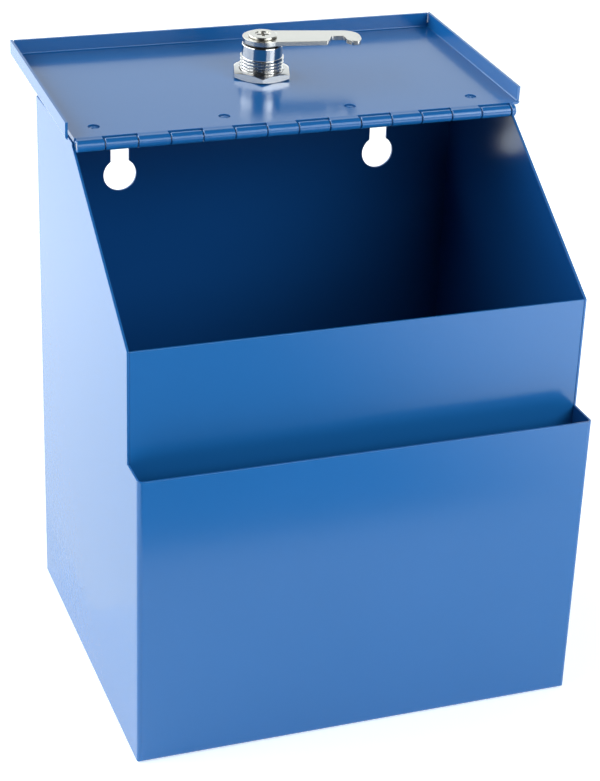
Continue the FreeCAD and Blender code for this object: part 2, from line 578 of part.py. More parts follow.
# ----------------------------------------------------------------------------------------
# The lid
# ----------------------------------------------------------------------------------------
def make_lid_pan():
    """The lid: a floor with two side flanges and a front flange, open at the hinge edge."""
    body = new_body("lid_pan")
    half = "Fit.lid_width / 2"
    inner = "(Fit.lid_width / 2 - Sizes.wall)"
    add_prism(body, "lid_block", "XY_Plane", "Fit.lid_outer", "Sizes.lid_flange",
              rectangle("-" + half, "Fit.lid_edge", half, "Fit.lid_length"))
    low = value("Fit.lid_outer")
    far = value("Fit.lid_length")
    edge_x = value(half)
    round_edges(body, "lid_bends", "Sizes.lid_bend",
                lambda edge, p: close(p.z, low) and (close(abs(p.x), edge_x) or close(p.y, far)))
    cut_prism(body, "lid_hollow", "XY_Plane", "Fit.lid_inner", "Sizes.lid_flange",
              rectangle("-" + inner, "Fit.lid_edge - Sizes.wall", inner, "Fit.lid_length - Sizes.wall"))
    floor = value("Fit.lid_inner")
    near = value("Fit.lid_length - Sizes.wall")
    side = value(inner)
    round_edges(body, "lid_inner_bends", "Sizes.lid_bend - Sizes.wall",
                lambda edge, p: close(p.z, floor) and (close(abs(p.x), side) or close(p.y, near)))
    cut_prism(body, "flange_ends", "XY_Plane", "Fit.lid_inner", "Sizes.lid_flange",
              rectangle("-" + half + " - Sizes.wall", "Fit.lid_edge - Sizes.wall",
                        half + " + Sizes.wall", "Sizes.lid_flange_start"))
    cut_prism(body, "corner_ends", "XY_Plane", "Fit.lid_outer - Sizes.wall", "2 * Sizes.lid_flange",
              rectangle("-" + half + " - Sizes.wall", "Fit.lid_edge - Sizes.wall",
                        "-Fit.half_width + Sizes.wall / 2", "Sizes.lid_flange_start"))
    cut_prism(body, "relief_notch", "XY_Plane", "Fit.lid_outer - Sizes.wall", "2 * Sizes.lid_flange",
              rectangle("-" + inner, "Fit.lid_edge - Sizes.wall",
                        "-Fit.half_width + Sizes.wall / 2", "Fit.lid_edge + Sizes.relief_length"))
    for name, sign in (("left_seam", "-"), ("right_seam", "")):
        cut_prism(body, name, "XY_Plane", "Fit.lid_inner + Sizes.lid_bend", "Sizes.lid_flange",
                  rectangle(sign + inner, "Fit.lid_length - Sizes.wall - Sizes.lid_bend",
                            sign + "(" + inner + " - Sizes.seam_gap)", "Fit.lid_length + Sizes.wall"))
    through = "3 * Sizes.wall"
    start = "Fit.lid_outer - Sizes.wall"
    cut_prism(body, "lock_hole", "XY_Plane", start, through,
              circles=[("Sizes.lock_shift", "Fit.lock_reach", "Sizes.barrel_radius + Sizes.running_fit")])
    cut_prism(body, "weld_holes", "XY_Plane", start, through,
              circles=[(place, "Sizes.weld_reach", "Sizes.weld_radius") for place in weld_places()])
    place_on_hinge(body, "Fit.lid_tilt")


# ----------------------------------------------------------------------------------------
# The cam lock
# ----------------------------------------------------------------------------------------
def make_lock_housing():
    """Zinc lock housing: a head outside the lid, a threaded barrel and a plain end."""
    body = new_body("lock_housing")
    sketch = new_sketch(body, "housing_sketch", "XZ_Plane")
    bore = "(Sizes.plug_radius + Sizes.running_fit)"
    head_edge = "Sizes.head_radius - Sizes.head_height / 3"
    profile = [(bore, "-Sizes.head_height"),
               (head_edge, "-Sizes.head_height"),
               ("Sizes.head_radius", "-Sizes.head_height * 2 / 3"),
               ("Sizes.head_radius", "0"),
               ("Sizes.barrel_radius", "0")]
    thread_start = "(Sizes.wall + Sizes.nut_height + Sizes.thread_pitch / 2)"
    rings = int(value("(Sizes.thread_top - %s) / Sizes.thread_pitch" % thread_start))
    profile.append(("Sizes.barrel_radius", thread_start))
    for ring in range(rings):
        crest = thread_start + " + %s * Sizes.thread_pitch"
        profile.append(("Sizes.barrel_radius - Sizes.thread_depth", crest % (ring + 0.5)))
        profile.append(("Sizes.barrel_radius", crest % (ring + 1)))
    profile.append(("Sizes.collar_radius", "Sizes.thread_top"))
    profile.append(("Sizes.collar_radius", "Sizes.barrel_top"))
    profile.append((bore, "Sizes.barrel_top"))
    draw_polygon(sketch, profile)
    doc.recompute()
    turned = body.newObject("PartDesign::Revolution", "turned_housing")
    turned.Profile = sketch
    turned.ReferenceAxis = (origin_item(body, "Z_Axis"), [""])
    turned.Angle = 360
    doc.recompute()
    place_on_lock(body)


def make_lock_nut():
    """The hexagon nut that clamps the lid against the lock's head."""
    body = new_body("lock_nut")
    corner = "(Sizes.nut_flats / sqrt(3))"
    corners = []
    for step in range(6):
        angle = "(Sizes.nut_turn + %d) * 1 deg" % (60 * step)
        corners.append(("%s * sin(%s)" % (corner, angle), "%s * cos(%s)" % (corner, angle)))
    add_prism(body, "nut_block", "XY_Plane", "Sizes.wall", "Sizes.nut_height", corners)
    cut_prism(body, "nut_bore", "XY_Plane", "0", "2 * Sizes.nut_height",
              circles=[("0", "0", "Sizes.barrel_radius + Sizes.running_fit")])
    sketch = new_sketch(body, "nut_chamfer_sketch", "XZ_Plane")
    reach = "Sizes.nut_flats / 2"
    top = "(Sizes.wall + Sizes.nut_height)"
    slope = "(%s - %s)" % (corner, reach)
    draw_polygon(sketch, [(reach, top), (reach + " + 2 * " + slope, top),
                          (reach + " + 2 * " + slope, top + " - " + slope)])
    doc.recompute()
    chamfer = body.newObject("PartDesign::Groove", "nut_chamfer")
    chamfer.Profile = sketch
    chamfer.ReferenceAxis = (origin_item(body, "Z_Axis"), [""])
    chamfer.Angle = 360
    doc.recompute()
    place_on_lock(body)


def wafer_levels():
    """Heights of the wafers' lower faces over the lid's outer face."""
    step = "Fit.plug_face + Sizes.wafer_start + %d * Sizes.wafer_pitch"
    return [step % number for number in range(int(value("Sizes.wafer_count")))]


def make_lock_plug():
    """The turning plug: keyway, wafer slots and a square tail for the cam."""
    body = new_body("lock_plug")
    add_prism(body, "plug_round", "XY_Plane", "Fit.plug_face", "Fit.stop_base - (Fit.plug_face)",
              circles=[("0", "0", "Sizes.plug_radius")])
    tail = "Sizes.tail_width / 2"
    add_prism(body, "plug_tail", "XY_Plane", "Fit.stop_base", "Fit.cam_top - Fit.stop_base",
              rectangle("-" + tail, "-" + tail, tail, tail))
    fit_x = "Sizes.wafer_width / 2 + Sizes.wafer_fit"
    fit_y = "Sizes.wafer_height / 2 + Sizes.wafer_fit"
    for number, level in enumerate(wafer_levels(), start=1):
        cut_prism(body, "wafer_slot_%d" % number, "XY_Plane", level + " - Sizes.wafer_fit",
                  "Sizes.wafer_sheet + 2 * Sizes.wafer_fit",
                  rectangle("-(%s)" % fit_x, "-(%s)" % fit_y, fit_x, fit_y))
    last = wafer_levels()[-1]
    cut_prism(body, "keyway", "XY_Plane", "Fit.plug_face - 1",
              "1 + (%s) - (Fit.plug_face) + Sizes.wafer_sheet" % last,
              rectangle("-Sizes.keyway_width / 2", "-Sizes.keyway_height / 2",
                        "Sizes.keyway_width / 2", "Sizes.keyway_height / 2"))
    cut_prism(body, "screw_hole", "XY_Plane", "Fit.cam_top - Sizes.screw_shank * 2",
              "Sizes.screw_shank * 3", circles=[("0", "0", "Sizes.screw_shank + Sizes.running_fit")])
    place_on_lock(body, "Sizes.cam_turn")


def make_wafers():
    """The wafer tumblers, each a plate with a window for the key."""
    compound = doc.addObject("Part::Compound", "wafer_tumblers")
    compound.Label = "wafer_tumblers"
    plates = []
    for number, level in enumerate(wafer_levels(), start=1):
        plate = doc.addObject("Part::Box", "wafer_plate_%d" % number)
        plate.setExpression("Length", "Sizes.wafer_width")
        plate.setExpression("Width", "Sizes.wafer_height - Sizes.spring_radius * 3")
        plate.setExpression("Height", "Sizes.wafer_sheet")
        plate.setExpression("Placement.Base.x", "-Sizes.wafer_width / 2")
        plate.setExpression("Placement.Base.y", "-Sizes.wafer_height / 2")
        plate.setExpression("Placement.Base.z", level)
        window = doc.addObject("Part::Box", "wafer_window_%d" % number)
        window.setExpression("Length", "Sizes.keyway_width + 2 * Sizes.wafer_fit")
        window.setExpression("Width", "Sizes.keyway_height * 0.6")
        window.setExpression("Height", "Sizes.wafer_sheet * 3")
        window.setExpression("Placement.Base.x", "-Sizes.keyway_width / 2 - Sizes.wafer_fit")
        window.setExpression("Placement.Base.y", "-Sizes.keyway_height * 0.45")
        window.setExpression("Placement.Base.z", "(%s) - Sizes.wafer_sheet" % level)
        wafer = doc.addObject("Part::Cut", "wafer_%d" % number)
        wafer.Base = plate
        wafer.Tool = window
        plates.append(wafer)
    compound.Links = plates
    place_on_lock(compound, "Sizes.cam_turn")
    SUB_PARTS.append(compound)


def make_wafer_springs():
    """A small coil spring beside each wafer, drawn as the cylinder it fills."""
    compound = doc.addObject("Part::Compound", "wafer_springs")
    compound.Label = "wafer_springs"
    rings = []
    for number, level in enumerate(wafer_levels(), start=1):
        spring = doc.addObject("Part::Cylinder", "wafer_spring_%d" % number)
        spring.setExpression("Radius", "Sizes.wafer_sheet / 2")
        spring.setExpression("Height", "Sizes.spring_radius * 3 - Sizes.wafer_fit")
        spring.Placement = FreeCAD.Placement(FreeCAD.Vector(), FreeCAD.Rotation(FreeCAD.Vector(1, 0, 0), -90))
        spring.setExpression("Placement.Base.y", "Sizes.wafer_height / 2 - Sizes.spring_radius * 3")
        spring.setExpression("Placement.Base.z", "(%s) + Sizes.wafer_sheet / 2" % level)
        spring.setExpression("Placement.Base.x", "Sizes.keyway_width / 2 + Sizes.spring_radius")
        rings.append(spring)
    compound.Links = rings
    place_on_lock(compound, "Sizes.cam_turn")
    SUB_PARTS.append(compound)


def tail_hole():
    """The square hole of a plate that sits on the plug's tail."""
    half = "Sizes.tail_width / 2 + Sizes.tail_fit"
    return rectangle("-(%s)" % half, "-(%s)" % half, half, half)


def make_stop_washer():
    """The washer on the tail whose lug limits the plug's turn."""
    body = new_body("stop_washer")
    add_prism(body, "stop_disc", "XY_Plane", "Fit.stop_base", "Sizes.stop_sheet",
              circles=[("0", "0", "Sizes.collar_radius - Sizes.wall")])
    cut_prism(body, "stop_square", "XY_Plane", "Fit.stop_base - 1", "Sizes.stop_sheet + 2", tail_hole())
    place_on_lock(body, "Sizes.cam_turn")


def make_cam():
    """The cam: a round eye on the square tail and an arm that ends in a hook."""
    body = new_body("lock_cam")
    half = "Sizes.cam_width / 2"
    near = "(Sizes.cam_taper - %s)" % half
    throat_end = "Sizes.hook_start + Sizes.hook_width"
    arm = [("0", "-" + half),
           ("Sizes.hook_start", near),
           ("Sizes.hook_start + Sizes.hook_depth * 0.25", near + " + Sizes.hook_depth"),
           (throat_end, near + " + Sizes.hook_depth"),
           (throat_end, near + " + Sizes.hook_depth * 0.45"),
           (throat_end + " + Sizes.hook_depth * 0.45", near),
           ("Sizes.cam_reach - Sizes.hook_depth * 0.25", near),
           ("Sizes.cam_reach", near + " + Sizes.hook_depth * 0.4"),
           ("Sizes.cam_reach", half),
           ("0", half)]
    add_prism(body, "cam_arm", "XY_Plane", "Fit.cam_base", "Sizes.cam_sheet", arm)
    add_prism(body, "cam_eye", "XY_Plane", "Fit.cam_base", "Sizes.cam_sheet",
              circles=[("0", "0", "Sizes.cam_eye")])
    tip = value("Sizes.cam_reach")
    low_y = value(half)
    top_z = value("Fit.cam_top")
    base_z = value("Fit.cam_base")
    throat = value("Sizes.hook_start")

    def at_nose(edge, p):
        """The upright edge of the arm's far corner."""
        return close(edge.BoundBox.ZLength, top_z - base_z) and close(p.x, tip) and close(p.y, low_y)

    def at_throat(edge, p):
        """The upright edges round the hook's throat."""
        upright = close(edge.BoundBox.ZLength, top_z - base_z)
        return upright and p.x > throat - 1 and p.y < low_y - 1

    round_edges(body, "cam_nose", "Sizes.cam_width * 0.42", at_nose)
    round_edges(body, "hook_rounds", "Sizes.hook_depth * 0.13", at_throat)
    round_edges(body, "cam_rim", "Sizes.cam_sheet * 0.12",
                lambda edge, p: close(p.z, top_z), kind="PartDesign::Chamfer")
    cut_prism(body, "cam_square", "XY_Plane", "Fit.cam_base - 1", "Sizes.cam_sheet + 2", tail_hole())
    place_on_lock(body, "Sizes.cam_turn")


def make_cam_washer():
    """The spring washer between the cam and its screw."""
    body = new_body("cam_washer")
    add_prism(body, "washer_disc", "XY_Plane", "Fit.cam_top", "Sizes.washer_sheet",
              circles=[("0", "0", "Sizes.washer_radius"),
                       ("0", "0", "Sizes.screw_shank + Sizes.running_fit")])
    place_on_lock(body, "Sizes.cam_turn")


def make_cam_screw():
    """The cross-recessed screw that holds the cam on the plug's tail."""
    body = new_body("cam_screw")
    add_prism(body, "screw_head", "XY_Plane", "Fit.washer_top", "Sizes.screw_rise",
              circles=[("0", "0", "Sizes.screw_head")])
    rim = value("Fit.washer_top + Sizes.screw_rise")
    round_edges(body, "head_round", "Sizes.screw_rise * 0.3", lambda edge, p: close(p.z, rim))
    add_prism(body, "screw_shank", "XY_Plane", "Fit.washer_top - Sizes.screw_shank * 2",
              "Sizes.screw_shank * 2", circles=[("0", "0", "Sizes.screw_shank")])
    cut_prism(body, "dish", "XY_Plane", "Fit.washer_top + Sizes.screw_rise * 0.6", "Sizes.screw_rise",
              circles=[("0", "0", "Sizes.screw_dish")])
    long_half = "Sizes.screw_dish * 0.75"
    thin_half = "Sizes.screw_dish * 0.18"
    for number, (u, v) in enumerate(((long_half, thin_half), (thin_half, long_half)), start=1):
        cut_prism(body, "recess_%d" % number, "XY_Plane", "Fit.washer_top - Sizes.screw_shank * 0.5",
                  "Sizes.screw_shank", rectangle("-" + u, "-" + v, u, v))
    place_on_lock(body, "Sizes.cam_turn")


# ----------------------------------------------------------------------------------------
# Build, check and write
# ----------------------------------------------------------------------------------------
make_outer_shell()
make_inner_front_panel()
make_back_panel()
make_top_panel()
make_latch_catch()
make_hinge_box_leaf()
make_hinge_lid_leaf()
make_hinge_pin()
make_plug_welds("hinge_lid_welds", "Fit.lid_outer", "Fit.lid_tilt")
make_plug_welds("hinge_top_welds", "-Fit.leaf_offset", "0")
make_lid_pan()
make_lock_housing()
make_lock_nut()
make_lock_plug()
make_wafers()
make_wafer_springs()
make_stop_washer()
make_cam()
make_cam_washer()
make_cam_screw()
doc.recompute()

for item in doc.Objects:
    if "Invalid" in item.State or "Error" in item.State:
        raise RuntimeError("%s failed: %s" % (item.Name, item.State))
for part in SUB_PARTS:
    if part.Shape.isNull() or not part.Shape.isValid():
        raise RuntimeError("%s has no valid shape" % part.Label)

os.makedirs("parts", exist_ok=True)
for part in SUB_PARTS:
    part.Shape.exportStep(os.path.join("parts", part.Label + ".step"))
    box = part.Shape.BoundBox
    print("%-20s %d solids %9.1f mm3  %s" % (part.Label, len(part.Shape.Solids), part.Shape.Volume, box))
print("hinge axis y %.3f z %.3f, lid tilt %.3f, closing turn %.2f degrees"
      % (value("Fit.axis_row_y"), value("Fit.axis_height"), value("Fit.lid_tilt"),
         180 + value("Fit.slope_angle") - value("Fit.lid_tilt")))
print("lock axis y %.3f z %.3f" % (value("Fit.lock_row_y"), value("Fit.lock_row_z")))
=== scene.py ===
"""Looks for a powder-coated sheet-steel drop box with a card pocket and a locking lid."""
import json
import logging
import math
from dataclasses import dataclass, field
from enum import Enum
from typing import Callable, Iterable, Optional, Union

import bmesh
import bpy
import numpy as np
from mathutils import Matrix, Vector, noise
from mathutils.geometry import tessellate_polygon


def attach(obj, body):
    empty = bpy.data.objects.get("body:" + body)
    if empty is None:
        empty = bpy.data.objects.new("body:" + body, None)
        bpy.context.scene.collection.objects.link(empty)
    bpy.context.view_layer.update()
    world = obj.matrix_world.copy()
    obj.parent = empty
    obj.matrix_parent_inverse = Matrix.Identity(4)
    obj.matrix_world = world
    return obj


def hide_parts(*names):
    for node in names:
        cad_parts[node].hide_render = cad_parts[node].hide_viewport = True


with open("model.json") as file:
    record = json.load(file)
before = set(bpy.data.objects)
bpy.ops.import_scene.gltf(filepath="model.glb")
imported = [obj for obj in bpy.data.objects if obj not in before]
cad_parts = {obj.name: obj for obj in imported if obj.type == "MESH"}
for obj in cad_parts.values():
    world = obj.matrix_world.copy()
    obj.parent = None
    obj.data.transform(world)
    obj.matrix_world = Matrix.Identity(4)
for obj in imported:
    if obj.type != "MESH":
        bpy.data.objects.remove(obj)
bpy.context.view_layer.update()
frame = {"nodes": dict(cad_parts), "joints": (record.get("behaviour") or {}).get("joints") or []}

LOG = logging.getLogger("drop_box")
MM = 0.001
TURNED_SHARP = 24.0
ALL_SMOOTH = 180.0
Colour = tuple[float, float, float]


class Turning(Enum):
    """The bodies that pieces move with."""

    BOX = "box"
    LID = "lid"
    LOCK = "lock"


class Tone(Enum):
    """Colours of the real finishes, and of one painted shade, in linear light."""

    BLUE = (0.0088, 0.113, 0.345)
    BLUE_THIN = (0.0108, 0.122, 0.372)
    NICKEL = (0.66, 0.65, 0.64)
    ZINC = (0.60, 0.58, 0.545)
    STEEL = (0.50, 0.505, 0.51)
    # painted shade: near-black colour that makes the stop washer stand for the deep shade under the cam
    WASHER_SHADE = (0.070, 0.068, 0.065)
    BRASS = (0.72, 0.50, 0.19)
    WHITE = (0.92, 0.925, 0.93)
    LAMP = (0.93, 0.99, 1.0)


# ---- Shader boards ----
class Signal:
    """One output socket whose arithmetic adds Math nodes to its board."""

    def __init__(self, board: "Board", socket: bpy.types.NodeSocket) -> None:
        """Keeps the board and the socket."""
        self.board = board
        self.socket = socket

    def _math(self, operation: str, other: "Number", swapped: bool = False) -> "Signal":
        """Adds one Math node.

        Args:
            operation: the Math node's operation.
            other: the second value.
            swapped: whether the other value comes first.

        Returns:
            The node's result.
        """
        pair = (other, self) if swapped else (self, other)
        made = self.board.add("ShaderNodeMath", {"operation": operation}, {0: pair[0], 1: pair[1]})
        return made.out(0)

    def __add__(self, other: "Number") -> "Signal":
        """Sum."""
        return self._math("ADD", other)

    __radd__ = __add__

    def __mul__(self, other: "Number") -> "Signal":
        """Product."""
        return self._math("MULTIPLY", other)

    __rmul__ = __mul__

    def __sub__(self, other: "Number") -> "Signal":
        """Difference."""
        return self._math("SUBTRACT", other)

    def __rsub__(self, other: "Number") -> "Signal":
        """Difference, the other value first."""
        return self._math("SUBTRACT", other, swapped=True)

    def __pow__(self, other: "Number") -> "Signal":
        """Power."""
        return self._math("POWER", other)


Number = Union[float, Signal]


class Made:
    """A node just added to a board."""

    def __init__(self, board: "Board", node: bpy.types.Node) -> None:
        """Keeps the board and the node."""
        self.board = board
        self.node = node

    def out(self, name: Union[int, str] = 0) -> Signal:
        """One of the node's outputs as a signal."""
        return Signal(self.board, self.node.outputs[name])


class Board:
    """A node tree that is filled one node at a time."""

    def __init__(self, tree: bpy.types.NodeTree) -> None:
        """Clears the tree."""
        self.tree = tree
        tree.nodes.clear()

    def add(self, kind: str, settings: Optional[dict] = None, values: Optional[dict] = None) -> Made:
        """Adds a node.

        Args:
            kind: the node's type.
            settings: its own settings; "stops" holds a ramp's (place, colour) pairs.
            values: socket name or number to a value or a signal.

        Returns:
            The node.
        """
        node = self.tree.nodes.new(kind)
        for name, setting in (settings or {}).items():
            if name == "stops":
                self._set_stops(node, setting)
            else:
                setattr(node, name, setting)
        for name, value in (values or {}).items():
            if isinstance(value, Signal):
                self.tree.links.new(value.socket, node.inputs[name])
            else:
                node.inputs[name].default_value = value
        return Made(self, node)

    @staticmethod
    def _set_stops(node: bpy.types.Node, stops: Iterable[tuple[float, tuple]]) -> None:
        """Fills a ramp's stops."""
        elements = node.color_ramp.elements
        for number, (place, colour) in enumerate(stops):
            element = elements[number] if number < 2 else elements.new(place)
            element.position = place
            element.color = colour

    def place(self, stretch: tuple[float, float, float] = (1.0, 1.0, 1.0)) -> Signal:
        """The point in the part's frame, in metres, stretched for grain that runs one way."""
        point = self.add("ShaderNodeTexCoord").out("Object")
        if stretch == (1.0, 1.0, 1.0):
            return point
        moved = self.add("ShaderNodeMapping", None, {"Vector": point, "Scale": stretch})
        return moved.out(0)

    def grain(self, point: Signal, size: float, detail: float = 2.0) -> Signal:
        """Cloudy noise whose lumps are about a given size in metres."""
        values = {"Vector": point, "Scale": 1.0 / size, "Detail": detail}
        return self.add("ShaderNodeTexNoise", None, values).out(0)

    def mixed(self, share: Number, first: Colour, second: Colour) -> Signal:
        """A colour between two others."""
        values = {0: share, 6: (*first, 1.0), 7: (*second, 1.0)}
        return self.add("ShaderNodeMix", {"data_type": "RGBA"}, values).out(2)

    def scaled(self, colour: Colour, share: Signal) -> Signal:
        """A colour made brighter or darker by a signal."""
        values = {0: colour, "Scale": share}
        return self.add("ShaderNodeVectorMath", {"operation": "SCALE"}, values).out(0)

    def step(self, value: Signal, span: tuple[float, float],
             ends: tuple[float, float] = (0.0, 1.0)) -> Signal:
        """A smooth step from one number to another while a value crosses a span."""
        values = {"Value": value, "From Min": span[0], "From Max": span[1],
                  "To Min": ends[0], "To Max": ends[1]}
        return self.add("ShaderNodeMapRange", {"interpolation_type": "SMOOTHSTEP"}, values).out(0)

    def bump(self, height: Signal, depth: float, strength: float) -> Signal:
        """A normal that follows a height, its full range being a depth in metres."""
        values = {"Height": height, "Distance": depth, "Strength": strength}
        return self.add("ShaderNodeBump", None, values).out(0)

    def surface(self, fixed: dict, **linked: Signal) -> None:
        """Ends the tree in a Principled shader.

        Args:
            fixed: socket name to an even value.
            linked: socket name, with _ for a space, to a signal.
        """
        values = dict(fixed)
        values.update({name.replace("_", " "): signal for name, signal in linked.items()})
        shader = self.add("ShaderNodeBsdfPrincipled", None, values)
        self.add("ShaderNodeOutputMaterial", None, {"Surface": shader.out(0)})


def material_board(name: str) -> tuple[bpy.types.Material, Board]:
    """A new material and its empty board."""
    material = bpy.data.materials.new(name)
    material.use_nodes = True
    return material, Board(material.node_tree)


# ---- Finishes ----
@dataclass(frozen=True)
class PowderCoat:
    """Glossy baked powder, with the faint orange peel of a sprayed and melted film; it can also paint
    shade on faces turned to the box's middle.
    """

    name: str = "blue_powder_coat"
    film: Colour = Tone.BLUE.value
    thin_film: Colour = Tone.BLUE_THIN.value
    peel_size: float = 2.6 * MM
    peel_depth: float = 0.020 * MM
    gloss: float = 0.135
    # painted shade: colour factor that darkens faces turned to the box's middle
    inner_painted_shade: Optional[Colour] = None
    middle: tuple[float, float, float] = (0.0, 0.0, 0.11)
    turn_over: tuple[float, float] = (-0.02, 0.0)

    def _paint_inner_shade(self, board: Board, point: Signal, colour: Signal) -> Signal:
        """Paints shade into the colour of faces turned to the box's middle, darkening the inside as
        painted shade.

        The amount is fitted, not measured: in one even colour the inside comes out too bright.

        Args:
            board: the material's board.
            point: the point in the part's frame.
            colour: the colour of the outside.

        Returns:
            The colour of both sides.
        """
        normal = board.add("ShaderNodeTexCoord").out("Normal")
        arm = board.add("ShaderNodeVectorMath", {"operation": "SUBTRACT"},
                        {0: point, 1: self.middle}).out(0)
        facing = board.add("ShaderNodeVectorMath", {"operation": "DOT_PRODUCT"},
                           {0: normal, 1: arm}).out("Value")
        # painted shade mask: 1 on faces turned to the box's middle, 0 on outer faces
        share = board.step(facing, self.turn_over, (1.0, 0.0))
        values = {0: share, 6: colour, 7: (*self.inner_painted_shade, 1.0)}
        return board.add("ShaderNodeMix", {"data_type": "RGBA", "blend_type": "MULTIPLY"}, values).out(2)

    def make(self) -> bpy.types.Material:
        """Builds the material."""
        material, board = material_board(self.name)
        point = board.place()
        cloud = board.grain(point, 60.0 * MM, 3.0)
        peel = board.grain(point, self.peel_size, 1.0)
        dust = board.grain(point, 0.35 * MM, 2.0)
        height = peel + 0.10 * dust
        colour = board.mixed(cloud, self.film, self.thin_film)
        board.surface(
            {"IOR": 1.5, "Specular IOR Level": 0.5},
            Base_Color=self._paint_inner_shade(board, point, colour) if self.inner_painted_shade else colour,
            Roughness=self.gloss + 0.05 * dust + 0.03 * cloud,
            Normal=board.bump(height, self.peel_depth, 1.0),
        )
        return material


@dataclass(frozen=True)
class PlatedMetal:
    """Plated metal with fine handling marks, or with grain along one way."""

    name: str
    colour: Colour
    worn: Colour
    roughness: float
    spread: float
    grain_size: float = 0.4 * MM
    stretch: tuple[float, float, float] = (1.0, 1.0, 1.0)
    depth: float = 0.004 * MM

    def make(self) -> bpy.types.Material:
        """Builds the material."""
        material, board = material_board(self.name)
        cloud = board.grain(board.place(), 6.0 * MM, 3.0)
        line = board.grain(board.place(self.stretch), self.grain_size, 3.0)
        board.surface(
            {"Metallic": 1.0},
            Base_Color=board.mixed(cloud, self.colour, self.worn),
            Roughness=self.roughness + self.spread * line + 0.5 * self.spread * cloud,
            Normal=board.bump(line, self.depth, 1.0),
        )
        return material


@dataclass(frozen=True)
class StudioFloor:
    """Matt white sheet under the box, lit a little from below."""

    name: str = "studio_paper"
    shade: Colour = Tone.WHITE.value
    glow: float = 0.47

    def make(self) -> bpy.types.Material:
        """Builds the material."""
        material, board = material_board(self.name)
        fibre = board.grain(board.place(), 1.5 * MM, 3.0)
        board.surface(
            {"Roughness": 0.9, "Emission Color": (*Tone.LAMP.value, 1.0), "Emission Strength": self.glow},
            Base_Color=board.mixed(fibre, self.shade, tuple(0.985 * c for c in self.shade)),
        )
        return material


@dataclass(frozen=True)
class FinishRack:
    """Every finish of the object, made once."""

    coat: bpy.types.Material
    cabinet: bpy.types.Material
    nut: bpy.types.Material
    nickel: bpy.types.Material
    zinc: bpy.types.Material
    screw: bpy.types.Material
    oiled: bpy.types.Material
    wire: bpy.types.Material
    brass: bpy.types.Material

    @classmethod
    def stocked(cls) -> "FinishRack":
        """Makes the materials."""
        nickel = Tone.NICKEL.value
        zinc = Tone.ZINC.value
        steel = Tone.STEEL.value
        brass = Tone.BRASS.value
        oiled = Tone.WASHER_SHADE.value
        return cls(
            coat=PowderCoat().make(),
            # the cabinet's coat paints shade on its inward faces
            cabinet=PowderCoat("cabinet_coat_painted_shade", inner_painted_shade=(0.60, 0.58, 0.70)).make(),
            nut=PlatedMetal("nut_nickel", shaded(nickel, 0.84), shaded(nickel, 0.77), 0.10, 0.06).make(),
            nickel=PlatedMetal("nickel_plate", nickel, shaded(nickel, 0.92), 0.05, 0.05).make(),
            zinc=PlatedMetal("zinc_plate", zinc, shaded(zinc, 0.93), 0.17, 0.10,
                             0.25 * MM, (0.15, 1.0, 1.0), 0.006 * MM).make(),
            screw=PlatedMetal("screw_zinc", zinc, shaded(zinc, 0.85), 0.10, 0.08).make(),
            # painted shade: the stop washer's near-black finish stands for the shade under the cam
            oiled=PlatedMetal("oiled_zinc", oiled, shaded(oiled, 0.6), 0.30, 0.15).make(),
            wire=PlatedMetal("zinc_wire", steel, shaded(steel, 0.85), 0.25, 0.12,
                             0.2 * MM, (0.1, 1.0, 1.0)).make(),
            brass=PlatedMetal("wafer_brass", brass, shaded(brass, 0.85), 0.22, 0.12).make(),
        )


def shaded(colour: Colour, share: float) -> Colour:
    """A colour dimmed evenly."""
    return tuple(share * part for part in colour)


# ---- Mesh work ----
def evaluated(piece: bpy.types.Object) -> None:
    """Applies all of a piece's modifiers to its mesh."""
    graph = bpy.context.evaluated_depsgraph_get()
    graph.update()
    made = bpy.data.meshes.new_from_object(piece.evaluated_get(graph))
    old = piece.data
    piece.modifiers.clear()
    piece.data = made
    bpy.data.meshes.remove(old)


def forget_normals(mesh: bpy.types.Mesh) -> None:
    """Drops the normals that a mesh was read with."""
    stored = mesh.attributes.get("custom_normal")
    if stored is not None:
        mesh.attributes.remove(stored)


def ease_edges(piece: bpy.types.Object, width: float, steps: int, sharp: float) -> None:
    """Rounds a piece's edges and shades its flat faces flat, so that only the edges catch light.

    Args:
        piece: the piece.
        width: width of the rounding, in metres.
        steps: facets across it.
        sharp: the angle, in degrees, over which an edge is rounded.
    """
    easing = piece.modifiers.new("eased_edges", "BEVEL")
    easing.width = width
    easing.segments = steps
    easing.limit_method = "ANGLE"
    easing.angle_limit = math.radians(sharp)
    levelling = piece.modifiers.new("level_faces", "WEIGHTED_NORMAL")
    levelling.mode = "FACE_AREA"
    levelling.weight = 100
    levelling.keep_sharp = True
    evaluated(piece)


def new_piece(name: str, mesh: bpy.types.Mesh, material: bpy.types.Material) -> bpy.types.Object:
    """Links a mesh into the scene under a name, with one material."""
    mesh.materials.clear()
    mesh.materials.append(material)
    piece = bpy.data.objects.new(name, mesh)
    bpy.context.scene.collection.objects.link(piece)
    return piece


